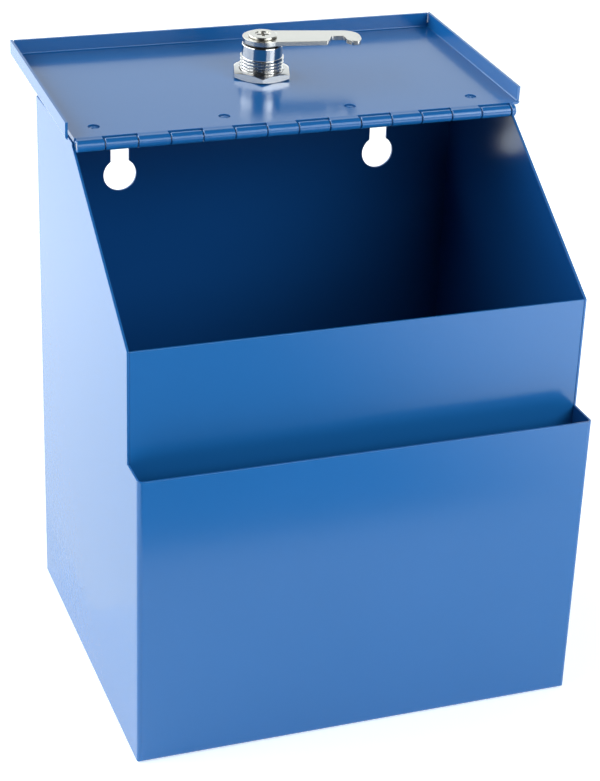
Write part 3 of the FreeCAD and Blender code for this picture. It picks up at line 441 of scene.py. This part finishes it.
@dataclass
class FormedPiece:
    """A piece with the eased edges that shearing, tumbling or coating leaves.

    Fields:
        node: the frame's piece that it stands for.
        name: its own name.
        body: the body it moves with.
        ease: width of the eased edge, in metres.
        slot: the material slot of its finish; not used.
        steps: number of facets across the eased edge.
        sharp: the angle, in degrees, over which an edge is eased.
        merge: points nearer than this are one.
        flat: faces within this angle, in degrees, are one.
    """

    node: str
    name: str
    body: Turning
    ease: float
    slot: str
    steps: int = 3
    sharp: float = 32.0
    merge: float = 2e-6
    flat: float = 0.4

    def build(self, material: bpy.types.Material) -> bpy.types.Object:
        """Makes the piece.

        Args:
            material: its finish.

        Returns:
            The piece, riding on its body.
        """
        mesh = frame["nodes"][self.node].data.copy()
        shape = bmesh.new()
        shape.from_mesh(mesh)
        bmesh.ops.remove_doubles(shape, verts=shape.verts, dist=self.merge)
        bmesh.ops.dissolve_limit(shape, angle_limit=math.radians(self.flat),
                                 verts=shape.verts, edges=shape.edges)
        for face in shape.faces:
            face.smooth = True
        for edge in shape.edges:
            edge.smooth = True
        shape.to_mesh(mesh)
        shape.free()
        forget_normals(mesh)
        piece = new_piece(self.name, mesh, material)
        ease_edges(piece, self.ease, self.steps, self.sharp)
        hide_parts(self.node)
        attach(piece, self.body.value)
        LOG.info("formed %s, %d faces", self.name, len(piece.data.polygons))
        return piece


@dataclass
class WeldRow:
    """Plug welds: small puddles of weld metal in punched holes, coated over.

    Fields:
        node: the frame's row of plugs.
        name: its own name.
        body: the body it moves with.
        seed: number that makes each puddle a little different.
        rings: mesh rings from the middle to the rim.
        spokes: mesh steps round a puddle.
        foot, crown, lumps, ripples: shares of a plug's height that its rim, its middle, its
            lumps and its ripples have.
        waver: how far its outline wavers, as a share of its radius.
    """

    node: str
    name: str
    body: Turning
    seed: int
    rings: int = 10
    spokes: int = 40
    foot: float = 0.60
    crown: float = 1.10
    lumps: float = 0.70
    ripples: float = 0.10
    waver: float = 0.03

    def build(self, material: bpy.types.Material) -> bpy.types.Object:
        """Makes the puddles.

        Args:
            material: the coat over them.

        Returns:
            The piece, riding on its body.
        """
        shape = bmesh.new()
        for number, points in enumerate(loose_points(frame["nodes"][self.node])):
            self._add_puddle(shape, points, self.seed + number)
        piece = new_piece(self.name, closed_mesh(self.name, shape, ALL_SMOOTH), material)
        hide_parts(self.node)
        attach(piece, self.body.value)
        LOG.info("welded %s", self.name)
        return piece

    def _add_puddle(self, shape: bmesh.types.BMesh, points: np.ndarray, seed: int) -> None:
        """Adds one puddle.

        Args:
            shape: the mesh under work.
            points: the plug's own points.
            seed: number for its ripples.
        """
        middle, across, along, up, reach, rise = plug_axes(points)
        base = middle - up * (rise / 2)
        turns = [2 * math.pi * spoke / self.spokes for spoke in range(self.spokes)]
        ways = [across * math.cos(turn) + along * math.sin(turn) for turn in turns]
        grid: list[list[bmesh.types.BMVert]] = []
        for ring in range(self.rings + 1):
            share = ring / self.rings
            row = []
            for turn, way in zip(turns, ways):
                ripple = noise.noise(Vector((3 * math.cos(turn), 3 * math.sin(turn), seed * 7.3)))
                lump = noise.noise(Vector((4 * share * math.cos(turn), 4 * share * math.sin(turn), seed)))
                high = rise * (self.foot + self.crown * (1 - share ** 2) + self.lumps * lump
                               + self.ripples * ripple * share)
                away = reach * share * (1.0 if ring == self.rings else 1.0 + self.waver * ripple)
                row.append(shape.verts.new(base + way * away + up * high))
            grid.append(row)
        foot = [shape.verts.new(base + way * reach) for way in ways]
        grid.append(foot)
        for near, far in zip(grid[1:], grid[2:]):
            join_rows(shape, near, far)
        shape.faces.new(grid[1])
        shape.faces.new(list(reversed(foot)))
        bmesh.ops.delete(shape, geom=grid[0], context="VERTS")


def closed_mesh(name: str, shape: bmesh.types.BMesh, sharp: float) -> bpy.types.Mesh:
    """Turns a closed form into a mesh.

    Args:
        name: the mesh's name.
        shape: the form, freed afterwards.
        sharp: the angle, in degrees, from which an edge stays sharp.

    Returns:
        The mesh.
    """
    bmesh.ops.recalc_face_normals(shape, faces=shape.faces)
    for face in shape.faces:
        face.smooth = True
    for edge in shape.edges:
        edge.smooth = edge.calc_face_angle(0.0) < math.radians(sharp)
    mesh = bpy.data.meshes.new(name)
    shape.to_mesh(mesh)
    shape.free()
    return mesh


def join_rows(shape: bmesh.types.BMesh, near: list, far: list) -> None:
    """Joins two closed rows of points with four-sided faces."""
    count = len(near)
    for step in range(count):
        after = (step + 1) % count
        shape.faces.new((near[step], near[after], far[after], far[step]))


def loose_points(source: bpy.types.Object) -> list[np.ndarray]:
    """The points of each separate solid in a mesh, from low X to high X."""
    shape = bmesh.new()
    shape.from_mesh(source.data)
    bmesh.ops.remove_doubles(shape, verts=shape.verts, dist=1e-6)
    left = set(shape.verts)
    groups = []
    while left:
        stack = [left.pop()]
        found = []
        while stack:
            vert = stack.pop()
            found.append(tuple(vert.co))
            for edge in vert.link_edges:
                other = edge.other_vert(vert)
                if other in left:
                    left.remove(other)
                    stack.append(other)
        groups.append(np.array(found))
    shape.free()
    groups.sort(key=lambda points: tuple(np.round(points.mean(0), 5)))
    return groups


def plug_axes(points: np.ndarray) -> tuple[Vector, Vector, Vector, Vector, float, float]:
    """Middle, two axes across, the thin axis pointing up, radius and height of a disc."""
    middle = (points.min(0) + points.max(0)) / 2
    axes = np.linalg.svd(points - points.mean(0))[2]
    up = axes[2] if axes[2][2] > 0 else -axes[2]
    spans = (points - points.mean(0)) @ axes.T
    reach = float(np.max(np.linalg.norm(spans[:, :2], axis=1)))
    rise = float(np.ptp(spans[:, 2]))
    across = Vector(axes[0])
    up_vector = Vector(up)
    return Vector(middle), across, up_vector.cross(across), up_vector, reach, rise


@dataclass
class SpringRow:
    """Wound springs beside the wafers.

    Fields:
        node: the frame's row of springs.
        name: its own name.
        turns: number of coils in each.
        wire: radius of the spring wire, in metres.
        steps: points in one coil.
    """

    node: str = "wafer_springs"
    name: str = "wafer_coils"
    turns: int = 6
    wire: float = 0.06 * MM
    steps: int = 12

    def build(self, material: bpy.types.Material) -> bpy.types.Object:
        """Makes the springs.

        Args:
            material: their finish.

        Returns:
            The piece, riding on the lock.
        """
        curve = bpy.data.curves.new(self.name, "CURVE")
        curve.dimensions = "3D"
        curve.bevel_depth = self.wire
        curve.bevel_resolution = 2
        for points in loose_points(frame["nodes"][self.node]):
            self._wind(curve, points)
        coil = bpy.data.objects.new(self.name, curve)
        bpy.context.scene.collection.objects.link(coil)
        curve.materials.append(material)
        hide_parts(self.node)
        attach(coil, Turning.LOCK.value)
        LOG.info("wound %s", self.name)
        return coil

    def _wind(self, curve: bpy.types.Curve, points: np.ndarray) -> None:
        """Adds one spring that fills its solid.

        Args:
            curve: the curve under work.
            points: the solid's own points.
        """
        middle = points.mean(0)
        axes = np.linalg.svd(points - middle)[2]
        spans = (points - middle) @ axes.T
        length = float(np.ptp(spans[:, 0])) - 2 * self.wire
        radius = float(np.ptp(spans[:, 1])) / 2 - self.wire
        count = self.turns * self.steps + 1
        spline = curve.splines.new("NURBS")
        spline.points.add(count - 1)
        for step in range(count):
            turn = 2 * math.pi * step / self.steps
            along = length * (step / (count - 1) - 0.5)
            place = (middle + axes[0] * along
                     + radius * (axes[1] * math.cos(turn) + axes[2] * math.sin(turn)))
            spline.points[step].co = (*place, 1.0)
        spline.order_u = 4
        spline.use_endpoint_u = True


def joint_named(name: str) -> dict:
    """One of the frame's joints."""
    return next(joint for joint in frame["joints"] if joint["name"] == name)


@dataclass
class CoatFillets:
    """The coat's fillets where the lid's floor meets the knuckles that turn with it.

    Fields:
        name: its own name.
        ends: how far a fillet stops short of its knuckle's ends.
        ahead: how far before the hinge axis there is nothing but knuckles.
        sharp: the angle, in degrees, from which its edges stay sharp.
        profile: its section, away from the hinge axis and over it.
    """

    name: str = "lid_coat_fillets"
    ends: float = 0.30 * MM
    ahead: float = 1.5 * MM
    sharp: float = 35.0
    profile: tuple[tuple[float, float], ...] = (
        (2.90, 2.46), (2.45, 2.458), (1.95, 2.44), (1.45, 2.39), (0.95, 2.335), (0.45, 2.308),
        (-0.05, 2.304), (-0.05, 2.15), (1.10, 1.85), (1.70, 1.55), (2.50, 1.60), (2.90, 2.00))

    def _knuckles(self, axis_y: float) -> list[tuple[float, float]]:
        """Start and end along X of each lid knuckle, whose two eased rims lie between them."""
        points = frame["nodes"]["hinge_lid_leaf"].data.vertices
        places = sorted({round(vert.co.x, 5) for vert in points if vert.co.y < axis_y - self.ahead})
        return list(zip(places[::4], places[3::4]))

    def build(self, material: bpy.types.Material) -> bpy.types.Object:
        """Makes the fillets.

        Args:
            material: the coat.

        Returns:
            The piece, riding on the lid.
        """
        axis = Vector(joint_named("lid_hinge")["pos_m"])
        up = Vector(joint_named("lock_turn")["axis"]).normalized()
        away = Vector((0, up.z, -up.y))
        shape = bmesh.new()
        for start, end in self._knuckles(axis.y):
            rings = []
            for across in (start + self.ends, end - self.ends):
                foot = Vector((across, axis.y, axis.z))
                rings.append([shape.verts.new(foot + away * (out * MM) + up * (over * MM))
                              for out, over in self.profile])
            join_rows(shape, *rings)
            shape.faces.new(rings[0])
            shape.faces.new(list(reversed(rings[1])))
        piece = new_piece(self.name, closed_mesh(self.name, shape, self.sharp), material)
        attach(piece, Turning.LID.value)
        LOG.info("filled %s", self.name)
        return piece


def lock_frame() -> tuple[Vector, Vector, Vector]:
    """The lock's origin, its axis, and the direction a quarter turn on from X."""
    joint = joint_named("lock_turn")
    up = Vector(joint["axis"]).normalized()
    return Vector(joint["pos_m"]), up, up.cross(Vector((1, 0, 0)))


def turned_piece(name: str, rows: list[Callable[[float], tuple[float, float]]], spokes: int,
                 start: float, material: bpy.types.Material) -> bpy.types.Object:
    """A closed piece wound round the lock's axis.

    Args:
        name: its own name.
        rows: radius and level of each mesh row in mm, as functions of the turn.
        spokes: mesh steps round the axis.
        start: turn of the first spoke.
        material: its finish.

    Returns:
        The piece.
    """
    origin, up, side = lock_frame()
    shape = bmesh.new()
    rings = []
    for row in rows:
        ring = []
        for spoke in range(spokes):
            turn = start + 2 * math.pi * spoke / spokes
            radius, level = row(turn)
            flat = Vector((1, 0, 0)) * math.cos(turn) + side * math.sin(turn)
            ring.append(shape.verts.new(origin + flat * (radius * MM) + up * (level * MM)))
        rings.append(ring)
    for near, far in zip(rings, rings[1:] + rings[:1]):
        join_rows(shape, near, far)
    return new_piece(name, closed_mesh(name, shape, TURNED_SHARP), material)


@dataclass
class HexNut:
    """The nut on the barrel, its corners turned off at both ends.

    Fields:
        name: its own name.
        flats: width over its flats.
        bore: radius of its bore.
        levels: its two ends over the lid's outer face.
        turned: radius of its round end faces as a share of half the flats.
        slope: how fast the turned-off corners fall.
        mouths: size of the bore's eased mouth at each end.
        spokes: mesh steps round it.
    """

    name: str = "barrel_nut"
    flats: float = 22.2
    bore: float = 8.86
    levels: tuple[float, float] = (1.0, 4.1)
    turned: float = 0.965
    slope: float = 0.40
    mouths: tuple[float, float] = (0.3, 0.5)
    spokes: int = 96

    def _corner(self) -> float:
        """The turn of one of its corners."""
        origin, up, side = lock_frame()
        arms = [vertex.co - origin for vertex in frame["nodes"]["lock_nut"].data.vertices]
        flat = [arm - up * arm.dot(up) for arm in arms]
        far = max(flat, key=lambda arm: arm.length)
        return math.atan2(far.dot(side), far.x)

    def _rows(self, corner: float) -> list[Callable[[float], tuple[float, float]]]:
        """Radius and level of each mesh row, as functions of the turn."""
        low, high = self.levels
        face = self.flats / 2 * self.turned

        def reach(turn: float) -> float:
            """Distance from the axis to the nut's side."""
            within = (turn - corner) % (math.pi / 3) - math.pi / 6
            return self.flats / 2 / math.cos(within)

        def ease(turn: float) -> float:
            """How far the turned-off corner falls."""
            return (reach(turn) - face) * self.slope

        return [
            lambda turn: (self.bore, low + self.mouths[0]),
            lambda turn: (self.bore + self.mouths[0], low),
            lambda turn: (face, low), lambda turn: (reach(turn), low + ease(turn)),
            lambda turn: (reach(turn), high - ease(turn)), lambda turn: (face, high),
            lambda turn: (self.bore + self.mouths[1], high),
            lambda turn: (self.bore, high - self.mouths[1])]

    def build(self, material: bpy.types.Material) -> bpy.types.Object:
        """Makes the nut.

        Args:
            material: its finish.

        Returns:
            The piece, riding on the lid.
        """
        corner = self._corner()
        piece = turned_piece(self.name, self._rows(corner), self.spokes, corner, material)
        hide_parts("lock_nut")
        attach(piece, Turning.LID.value)
        LOG.info("cut %s", self.name)
        return piece


@dataclass
class ThreadedBarrel:
    """The lock's housing: a head outside the lid, a threaded barrel and a plain collar.

    Fields:
        name: its own name.
        bore: radius of the plug's bore.
        head: radius and height of the head.
        crest: radius over the thread.
        depth: depth of the thread.
        pitch: pitch of the thread.
        thread: where the thread starts and ends over the lid's outer face.
        collar: radius of the collar and level of its end.
        run_out: length over which the thread gives way to the collar.
        fades: lengths over which the thread deepens at its start and dies at its end.
        sharpness: how much wider its crests are than its roots.
        rim: how far the rounded rim stands in from the collar's side and from its end.
        mouth: size of the bore's eased mouth.
        spokes: mesh steps round the barrel.
        rows: mesh rows along the thread.
    """

    name: str = "lock_barrel"
    bore: float = 6.05
    head: tuple[float, float] = (11.0, 2.9)
    crest: float = 8.8
    depth: float = 0.80
    pitch: float = 1.3
    thread: tuple[float, float] = (0.3, 9.2)
    collar: tuple[float, float] = (8.3, 14.4)
    run_out: float = 0.12
    fades: tuple[float, float] = (0.50, 0.35)
    sharpness: float = 1.15
    rim: tuple[tuple[float, float], ...] = ((0.0, 0.35), (0.12, 0.10), (0.35, 0.0))
    mouth: float = 0.3
    spokes: int = 96
    rows: int = 96

    def _rows(self) -> list[Callable[[float], tuple[float, float]]]:
        """Radius and level of each mesh row, as functions of the turn."""
        wide, tall = self.head
        plain, top = self.collar
        start, end = self.thread
        before = [(self.bore, -tall), (wide - tall / 3, -tall), (wide, -tall * 2 / 3), (wide, 0.0),
                  (self.crest, 0.0)]
        after = [(plain, end + self.run_out)]
        after += [(plain - inward, top - down) for inward, down in self.rim]
        after += [(self.bore + self.mouth, top), (self.bore, top - self.mouth)]
        made = [self._even(radius, level) for radius, level in before]
        for row in range(self.rows + 1):
            made.append(self._wound(start + (end - start) * row / self.rows))
        return made + [self._even(radius, level) for radius, level in after]

    @staticmethod
    def _even(radius: float, level: float) -> Callable[[float], tuple[float, float]]:
        """A round row."""
        return lambda turn: (radius, level)

    def _wound(self, level: float) -> Callable[[float], tuple[float, float]]:
        """A row across the thread."""
        start, end = self.thread
        fade = min(1.0, (level - start) / self.fades[0], (end - level) / self.fades[1])

        def row(turn: float) -> tuple[float, float]:
            """Radius and level at a turn."""
            wave = 0.5 + 0.5 * math.cos(2 * math.pi * level / self.pitch - turn)
            return self.crest - self.depth * max(0.0, fade) * wave ** self.sharpness, level

        return row

    def build(self, material: bpy.types.Material) -> bpy.types.Object:
        """Makes the housing on the lock's axis.

        Args:
            material: its finish.

        Returns:
            The piece, riding on the lid.
        """
        piece = turned_piece(self.name, self._rows(), self.spokes, 0.0, material)
        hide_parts("lock_housing")
        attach(piece, Turning.LID.value)
        LOG.info("threaded %s", self.name)
        return piece


@dataclass
class HookedCam:
    """The stamped cam: an eye on the plug's tail and an arm that ends in a hook.

    Fields:
        eye: radius of the round end.
        half: half the arm's width at the eye.
        narrow: half the arm's width at the hook's side.
        throat: where the hook's throat starts and ends along the arm.
        depth: how far the throat goes in.
        reach: length from the lock's axis to the tip.
        turn: the arm's turn from +X, in degrees.
        tail: half the square hole's width.
        ease: width of the rolled edge.
        steps: number of facets across the rolled edge.
        sharp: the angle, in degrees, over which an edge is rolled.
        round_steps: number of steps round the eye.
    """

    eye: float = 8.2 * MM
    half: float = 7.0 * MM
    narrow: float = 5.8 * MM
    throat: tuple[float, float] = (26.5 * MM, 33.4 * MM)
    depth: float = 6.0 * MM
    reach: float = 39.8 * MM
    turn: float = -11.0
    tail: float = 2.6 * MM
    ease: float = 0.55 * MM
    steps: int = 3
    sharp: float = 50.0
    round_steps: int = 48

    def _outline(self) -> list[Vector]:
        """The cam's edge, seen from above, starting where the eye meets the arm."""
        start, end = self.throat
        near = -self.narrow
        meet = math.sqrt(self.eye ** 2 - self.half ** 2)
        corners = [((start - 0.5 * MM, near), 1.0 * MM),
                   ((start + 1.5 * MM, near + self.depth), 1.2 * MM),
                   ((end - 0.1 * MM, near + self.depth), 0.9 * MM),
                   ((end + 0.2 * MM, near + 0.43 * self.depth), 1.2 * MM),
                   ((end + 2.2 * MM, near), 1.0 * MM),
                   ((self.reach - 0.9 * MM, near), 1.6 * MM),
                   ((self.reach, near + 0.53 * self.depth), 3.0 * MM),
                   ((self.reach, self.half), 6.2 * MM)]
        path = [Vector((meet, -self.half))] + rounded(corners, (meet, -self.half), (meet, self.half))
        first = math.atan2(self.half, meet)
        for step in range(self.round_steps + 1):
            turn = first + (2 * math.pi - 2 * first) * step / self.round_steps
            path.append(Vector((self.eye * math.cos(turn), self.eye * math.sin(turn))))
        return path[1:]

    def build(self, material: bpy.types.Material) -> bpy.types.Object:
        """Makes the cam on the lock's axis, as thick as the frame's cam.

        Args:
            material: its finish.

        Returns:
            The piece, riding on the lock.
        """
        origin, up, _ = lock_frame()
        across = Matrix.Rotation(math.radians(self.turn), 3, up) @ Vector((1, 0, 0))
        side = up.cross(across)
        levels = [(vert.co - origin).dot(up) for vert in frame["nodes"]["lock_cam"].data.vertices]
        outer = self._outline()
        hole = [Vector((x * self.tail, y * self.tail)) for x, y in ((-1, -1), (1, -1), (1, 1), (-1, 1))]
        mesh = plate_mesh("hooked_cam", [outer, hole],
                          lambda at, level: origin + across * at.x + side * at.y + up * level,
                          min(levels), max(levels))
        piece = new_piece("hooked_cam", mesh, material)
        ease_edges(piece, self.ease, self.steps, self.sharp)
        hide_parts("lock_cam")
        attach(piece, Turning.LOCK.value)
        LOG.info("stamped hooked_cam")
        return piece


def rounded(corners: list, before: tuple, after: tuple, steps: int = 8) -> list[Vector]:
    """Rounds the corners of an open path.

    Args:
        corners: (point, radius) pairs.
        before: the point that the path comes from.
        after: the point that it goes on to.
        steps: points round each corner.

    Returns:
        The path's points.
    """
    places = [Vector(before)] + [Vector(point) for point, _ in corners] + [Vector(after)]
    path = []
    for number, (_, radius) in enumerate(corners, start=1):
        corner = places[number]
        back = (places[number - 1] - corner).normalized()
        ahead = (places[number + 1] - corner).normalized()
        half_angle = back.angle(ahead) / 2
        reach = radius / math.tan(half_angle)
        centre = corner + (back + ahead).normalized() * (radius / math.sin(half_angle))
        first = corner + back * reach - centre
        last = corner + ahead * reach - centre
        sweep = math.atan2(first.x * last.y - first.y * last.x, first.dot(last))
        for step in range(steps + 1):
            path.append(centre + Matrix.Rotation(sweep * step / steps, 2) @ first)
    return path


def plate_mesh(name: str, loops: list[list[Vector]], place: Callable[[Vector, float], Vector],
               low: float, high: float) -> bpy.types.Mesh:
    """A flat plate with holes.

    Args:
        name: the mesh's name.
        loops: its outline and then its holes, as flat points.
        place: gives a flat point's place in space at a level.
        low: level of its lower face.
        high: level of its upper face.

    Returns:
        The mesh.
    """
    shape = bmesh.new()
    rings = [[[shape.verts.new(place(at, level)) for at in loop] for loop in loops]
             for level in (low, high)]
    triangles = tessellate_polygon([[Vector((at.x, at.y, 0)) for at in loop] for loop in loops])
    for ring_set, flipped in ((rings[0], True), (rings[1], False)):
        flat = [vert for ring in ring_set for vert in ring]
        for triangle in triangles:
            corners = [flat[index] for index in triangle]
            shape.faces.new(corners[::-1] if flipped else corners)
    for lower, upper in zip(*rings):
        join_rows(shape, lower, upper)
    bmesh.ops.recalc_face_normals(shape, faces=shape.faces)
    bmesh.ops.dissolve_limit(shape, angle_limit=math.radians(0.3),
                             verts=shape.verts, edges=shape.edges)
    return closed_mesh(name, shape, ALL_SMOOTH)


# ---- Sub-assemblies ----
@dataclass
class BoxCabinet:
    """The folded box: shell, inner walls, top and catch."""

    sheet_ease: float = 0.24 * MM
    catch_ease: float = 0.20 * MM
    coat_slot: str = "blue_powder_coat"

    def pieces(self) -> list[FormedPiece]:
        """The cabinet's formed pieces."""
        sheets = {"outer_shell": "folded_shell", "inner_front_panel": "inner_front_wall",
                  "back_panel": "rear_wall", "top_panel": "top_cover"}
        made = [FormedPiece(node, name, Turning.BOX, self.sheet_ease, self.coat_slot)
                for node, name in sheets.items()]
        made.append(FormedPiece("latch_catch", "cam_catch", Turning.BOX, self.catch_ease, self.coat_slot))
        return made

    def build(self, rack: FinishRack) -> None:
        """Makes and dresses the cabinet."""
        for piece in self.pieces():
            # the cabinet's coat has painted shade on its inward faces
            piece.build(rack.cabinet)


@dataclass
class PianoHinge:
    """The hinge: two leaves, the wire through them and the plug welds."""

    lid_seed: int = 3
    top_seed: int = 11

    def build(self, rack: FinishRack) -> None:
        """Makes and dresses the hinge."""
        dress("hinge_box_leaf", rack.coat)
        dress("hinge_lid_leaf", rack.coat)
        dress("hinge_pin", rack.wire)
        CoatFillets().build(rack.coat)
        WeldRow("hinge_lid_welds", "lid_weld_puddles", Turning.LID, self.lid_seed).build(rack.coat)
        WeldRow("hinge_top_welds", "top_weld_puddles", Turning.BOX, self.top_seed).build(rack.coat)


@dataclass
class LidPan:
    """The folded lid."""

    sheet_ease: float = 0.24 * MM
    coat_slot: str = "blue_powder_coat"

    def build(self, rack: FinishRack) -> None:
        """Makes and dresses the lid."""
        FormedPiece("lid_pan", "folded_lid", Turning.LID, self.sheet_ease, self.coat_slot).build(rack.coat)


@dataclass
class CamLock:
    """The lock: housing and nut on the lid, and the plug with its cam."""

    cast_ease: float = 0.09 * MM

    def build(self, rack: FinishRack) -> None:
        """Makes and dresses the lock."""
        ThreadedBarrel().build(rack.nickel)
        HexNut().build(rack.nut)
        HookedCam().build(rack.zinc)
        FormedPiece("cam_screw", "cam_fixing_screw", Turning.LOCK, self.cast_ease,
                    "zinc_plate", 2).build(rack.screw)
        dress("cam_washer", rack.zinc)
        # painted shade: the stop washer is dark to show the shade between cam and collar
        dress("stop_washer", rack.oiled)
        dress("lock_plug", rack.nickel)
        dress("wafer_tumblers", rack.brass)
        SpringRow().build(rack.wire)


def dress(node: str, material: bpy.types.Material) -> None:
    """Gives one of the frame's own pieces a finish."""
    slots = frame["nodes"][node].data.materials
    slots.clear()
    slots.append(material)
    LOG.info("dressed %s", node)


# ---- Studio ----
@dataclass
class Softbox:
    """One square area light aimed at a point."""

    name: str
    place: tuple[float, float, float]
    aim: tuple[float, float, float]
    size: tuple[float, float]
    power: float

    def hang(self) -> None:
        """Adds the light."""
        lamp = bpy.data.lights.new(self.name, "AREA")
        lamp.shape = "RECTANGLE"
        lamp.size, lamp.size_y = self.size
        lamp.energy = self.power
        lamp.color = Tone.LAMP.value
        holder = bpy.data.objects.new(self.name, lamp)
        holder.location = self.place
        way = Vector(self.aim) - Vector(self.place)
        holder.rotation_euler = way.to_track_quat("-Z", "Y").to_euler()
        holder.visible_camera = False
        bpy.context.scene.collection.objects.link(holder)
        LOG.info("hung %s", self.name)


@dataclass
class ViewCamera:
    """The camera: where it stands, how it is turned and its lens.

    Fields:
        place: where it stands, in metres.
        azimuth: turn about Z, in degrees; 0 looks along +Y.
        elevation: height over the horizon, in degrees.
        roll: turn about its own line of sight, in degrees.
        lens: focal length for the sensor's width, in millimetres.
        shift: sideways and upward shift, in frame widths.
    """

    place: tuple[float, float, float] = (-0.26097, -0.68965, 0.47071)
    azimuth: float = -20.008
    elevation: float = 26.256
    roll: float = 1.952
    lens: float = 122.55
    sensor: float = 36.0
    shift: tuple[float, float] = (0.03188, 0.01516)

    def stand(self) -> None:
        """Adds the camera and makes it the scene's own."""
        turn = (Matrix.Rotation(math.radians(self.azimuth), 4, "Z")
                @ Matrix.Rotation(math.radians(90 - self.elevation), 4, "X")
                @ Matrix.Rotation(math.radians(self.roll), 4, "Z"))
        data = bpy.data.cameras.new("view_camera")
        data.sensor_fit = "HORIZONTAL"
        data.sensor_width = self.sensor
        data.lens = self.lens
        data.shift_x, data.shift_y = self.shift
        data.clip_start = 0.01
        camera = bpy.data.objects.new("view_camera", data)
        camera.matrix_world = Matrix.Translation(self.place) @ turn
        bpy.context.scene.collection.objects.link(camera)
        bpy.context.scene.camera = camera
        LOG.info("camera stands")


def flat_sheet(name: str, low: tuple[float, float], high: tuple[float, float],
               level: float) -> bpy.types.Mesh:
    """A level four-sided sheet between two corners."""
    (left, front), (right, back) = low, high
    mesh = bpy.data.meshes.new(name)
    corners = ((left, front), (right, front), (right, back), (left, back))
    mesh.from_pydata([(x, y, level) for x, y in corners], [], [(0, 1, 2, 3)])
    return mesh


@dataclass
class GradedCard:
    """A lit card on the floor that only shows in reflections and brightens towards one end.

    Fields:
        name: its own name.
        low: its lowest corner, X and Y.
        high: its highest corner, X and Y.
        axis: the axis that it brightens along.
        span: where the change starts and ends on that axis.
        light: how bright it is at the start and at the end.
    """

    name: str
    low: tuple[float, float]
    high: tuple[float, float]
    axis: str
    span: tuple[float, float]
    light: tuple[float, float]
    level: float = 0.004

    def lay(self) -> None:
        """Adds the card."""
        mesh = flat_sheet(self.name, self.low, self.high, self.level)
        material, board = material_board(self.name)
        along = board.add("ShaderNodeSeparateXYZ", None, {0: board.place()}).out(self.axis)
        light = board.scaled(Tone.LAMP.value, board.step(along, self.span, self.light))
        glow = board.add("ShaderNodeEmission", None, {"Color": light, "Strength": 1.0})
        board.add("ShaderNodeOutputMaterial", None, {"Surface": glow.out(0)})
        card = new_piece(self.name, mesh, material)
        card.visible_camera = False
        card.visible_diffuse = False
        card.visible_shadow = False
        card.visible_transmission = False
        LOG.info("laid %s", self.name)


@dataclass
class Studio:
    """White paper floor, soft lights and a room that is brightest behind the box."""

    half_floor: float = 4.0
    floor_level: float = -0.4 * MM
    open_side: tuple[float, float, float] = (-0.33, -0.94, 0.0)
    front_light: float = 0.05
    back_light: float = 1.27
    horizon_light: float = 1.1
    behind_from: tuple[float, float] = (0.0, 0.65)
    behind_under: tuple[float, float] = (0.80, 0.50)
    horizon_under: tuple[float, float] = (0.34, 0.06)
    open_width: tuple[float, float] = (0.93, 0.70)
    softboxes: list[Softbox] = field(default_factory=lambda: [
        Softbox("left_softbox", (-1.11, 0.45, 0.87), (0.0, 0.0, 0.20), (2.35, 0.95), 28.0),
        Softbox("right_softbox", (0.64, -1.02, 0.87), (0.0, 0.0, 0.20), (1.25, 0.85), 12.5),
        Softbox("front_softbox", (0.42, -0.46, 0.42), (0.04, -0.05, 0.10), (0.30, 0.30), 1.0),
    ])

    floor_cards: list[GradedCard] = field(default_factory=lambda: [
        GradedCard("front_card", (-0.70, -0.95), (0.75, -0.22), "X", (0.06, 0.31), (0.02, 3.6)),
        GradedCard("back_card", (-0.90, 0.03), (-0.10, 1.20), "Y", (0.02, 0.48), (1.4, 1.9)),
    ])

    def build(self) -> None:
        """Adds the floor, lights, room and camera."""
        ViewCamera().stand()
        self._lay_floor()
        for card in self.floor_cards:
            card.lay()
        for softbox in self.softboxes:
            softbox.hang()
        self._light_room()
        bpy.context.scene.view_settings.view_transform = "Standard"

    def _lay_floor(self) -> None:
        """Adds the floor."""
        reach = self.half_floor
        mesh = flat_sheet("floor", (-reach, -reach), (reach, reach), self.floor_level)
        new_piece("floor", mesh, StudioFloor().make())

    def _light_room(self) -> None:
        """The room's light, bright behind the box and dim on the open side."""
        world = bpy.data.worlds.new("white_room")
        bpy.context.scene.world = world
        world.use_nodes = True
        board = Board(world.node_tree)
        way = board.add("ShaderNodeTexCoord").out("Generated")
        apart = board.add("ShaderNodeSeparateXYZ", None, {0: way})
        facing = board.add("ShaderNodeVectorMath", {"operation": "DOT_PRODUCT"},
                           {0: way, 1: self.open_side}).out("Value")
        behind = (board.step(apart.out("Y"), self.behind_from)
                  * board.step(apart.out("Z"), self.behind_under))
        horizon = (board.step(apart.out("Z"), self.horizon_under)
                   * board.step(facing, self.open_width))
        strength = (self.front_light + (self.back_light - self.front_light) * behind
                    + self.horizon_light * horizon)
        light = board.add("ShaderNodeBackground", None,
                          {"Color": board.scaled(Tone.LAMP.value, strength), "Strength": 1.0})
        board.add("ShaderNodeOutputWorld", None, {"Surface": light.out(0)})


def main() -> None:
    """Builds and dresses every sub-assembly, then the studio."""
    logging.basicConfig(level=logging.INFO, format="%(message)s")
    rack = FinishRack.stocked()
    for assembly in (BoxCabinet(), PianoHinge(), LidPan(), CamLock()):
        assembly.build(rack)
        LOG.info("built %s", type(assembly).__name__)
    Studio().build()


if __name__ == "__main__":
    main()
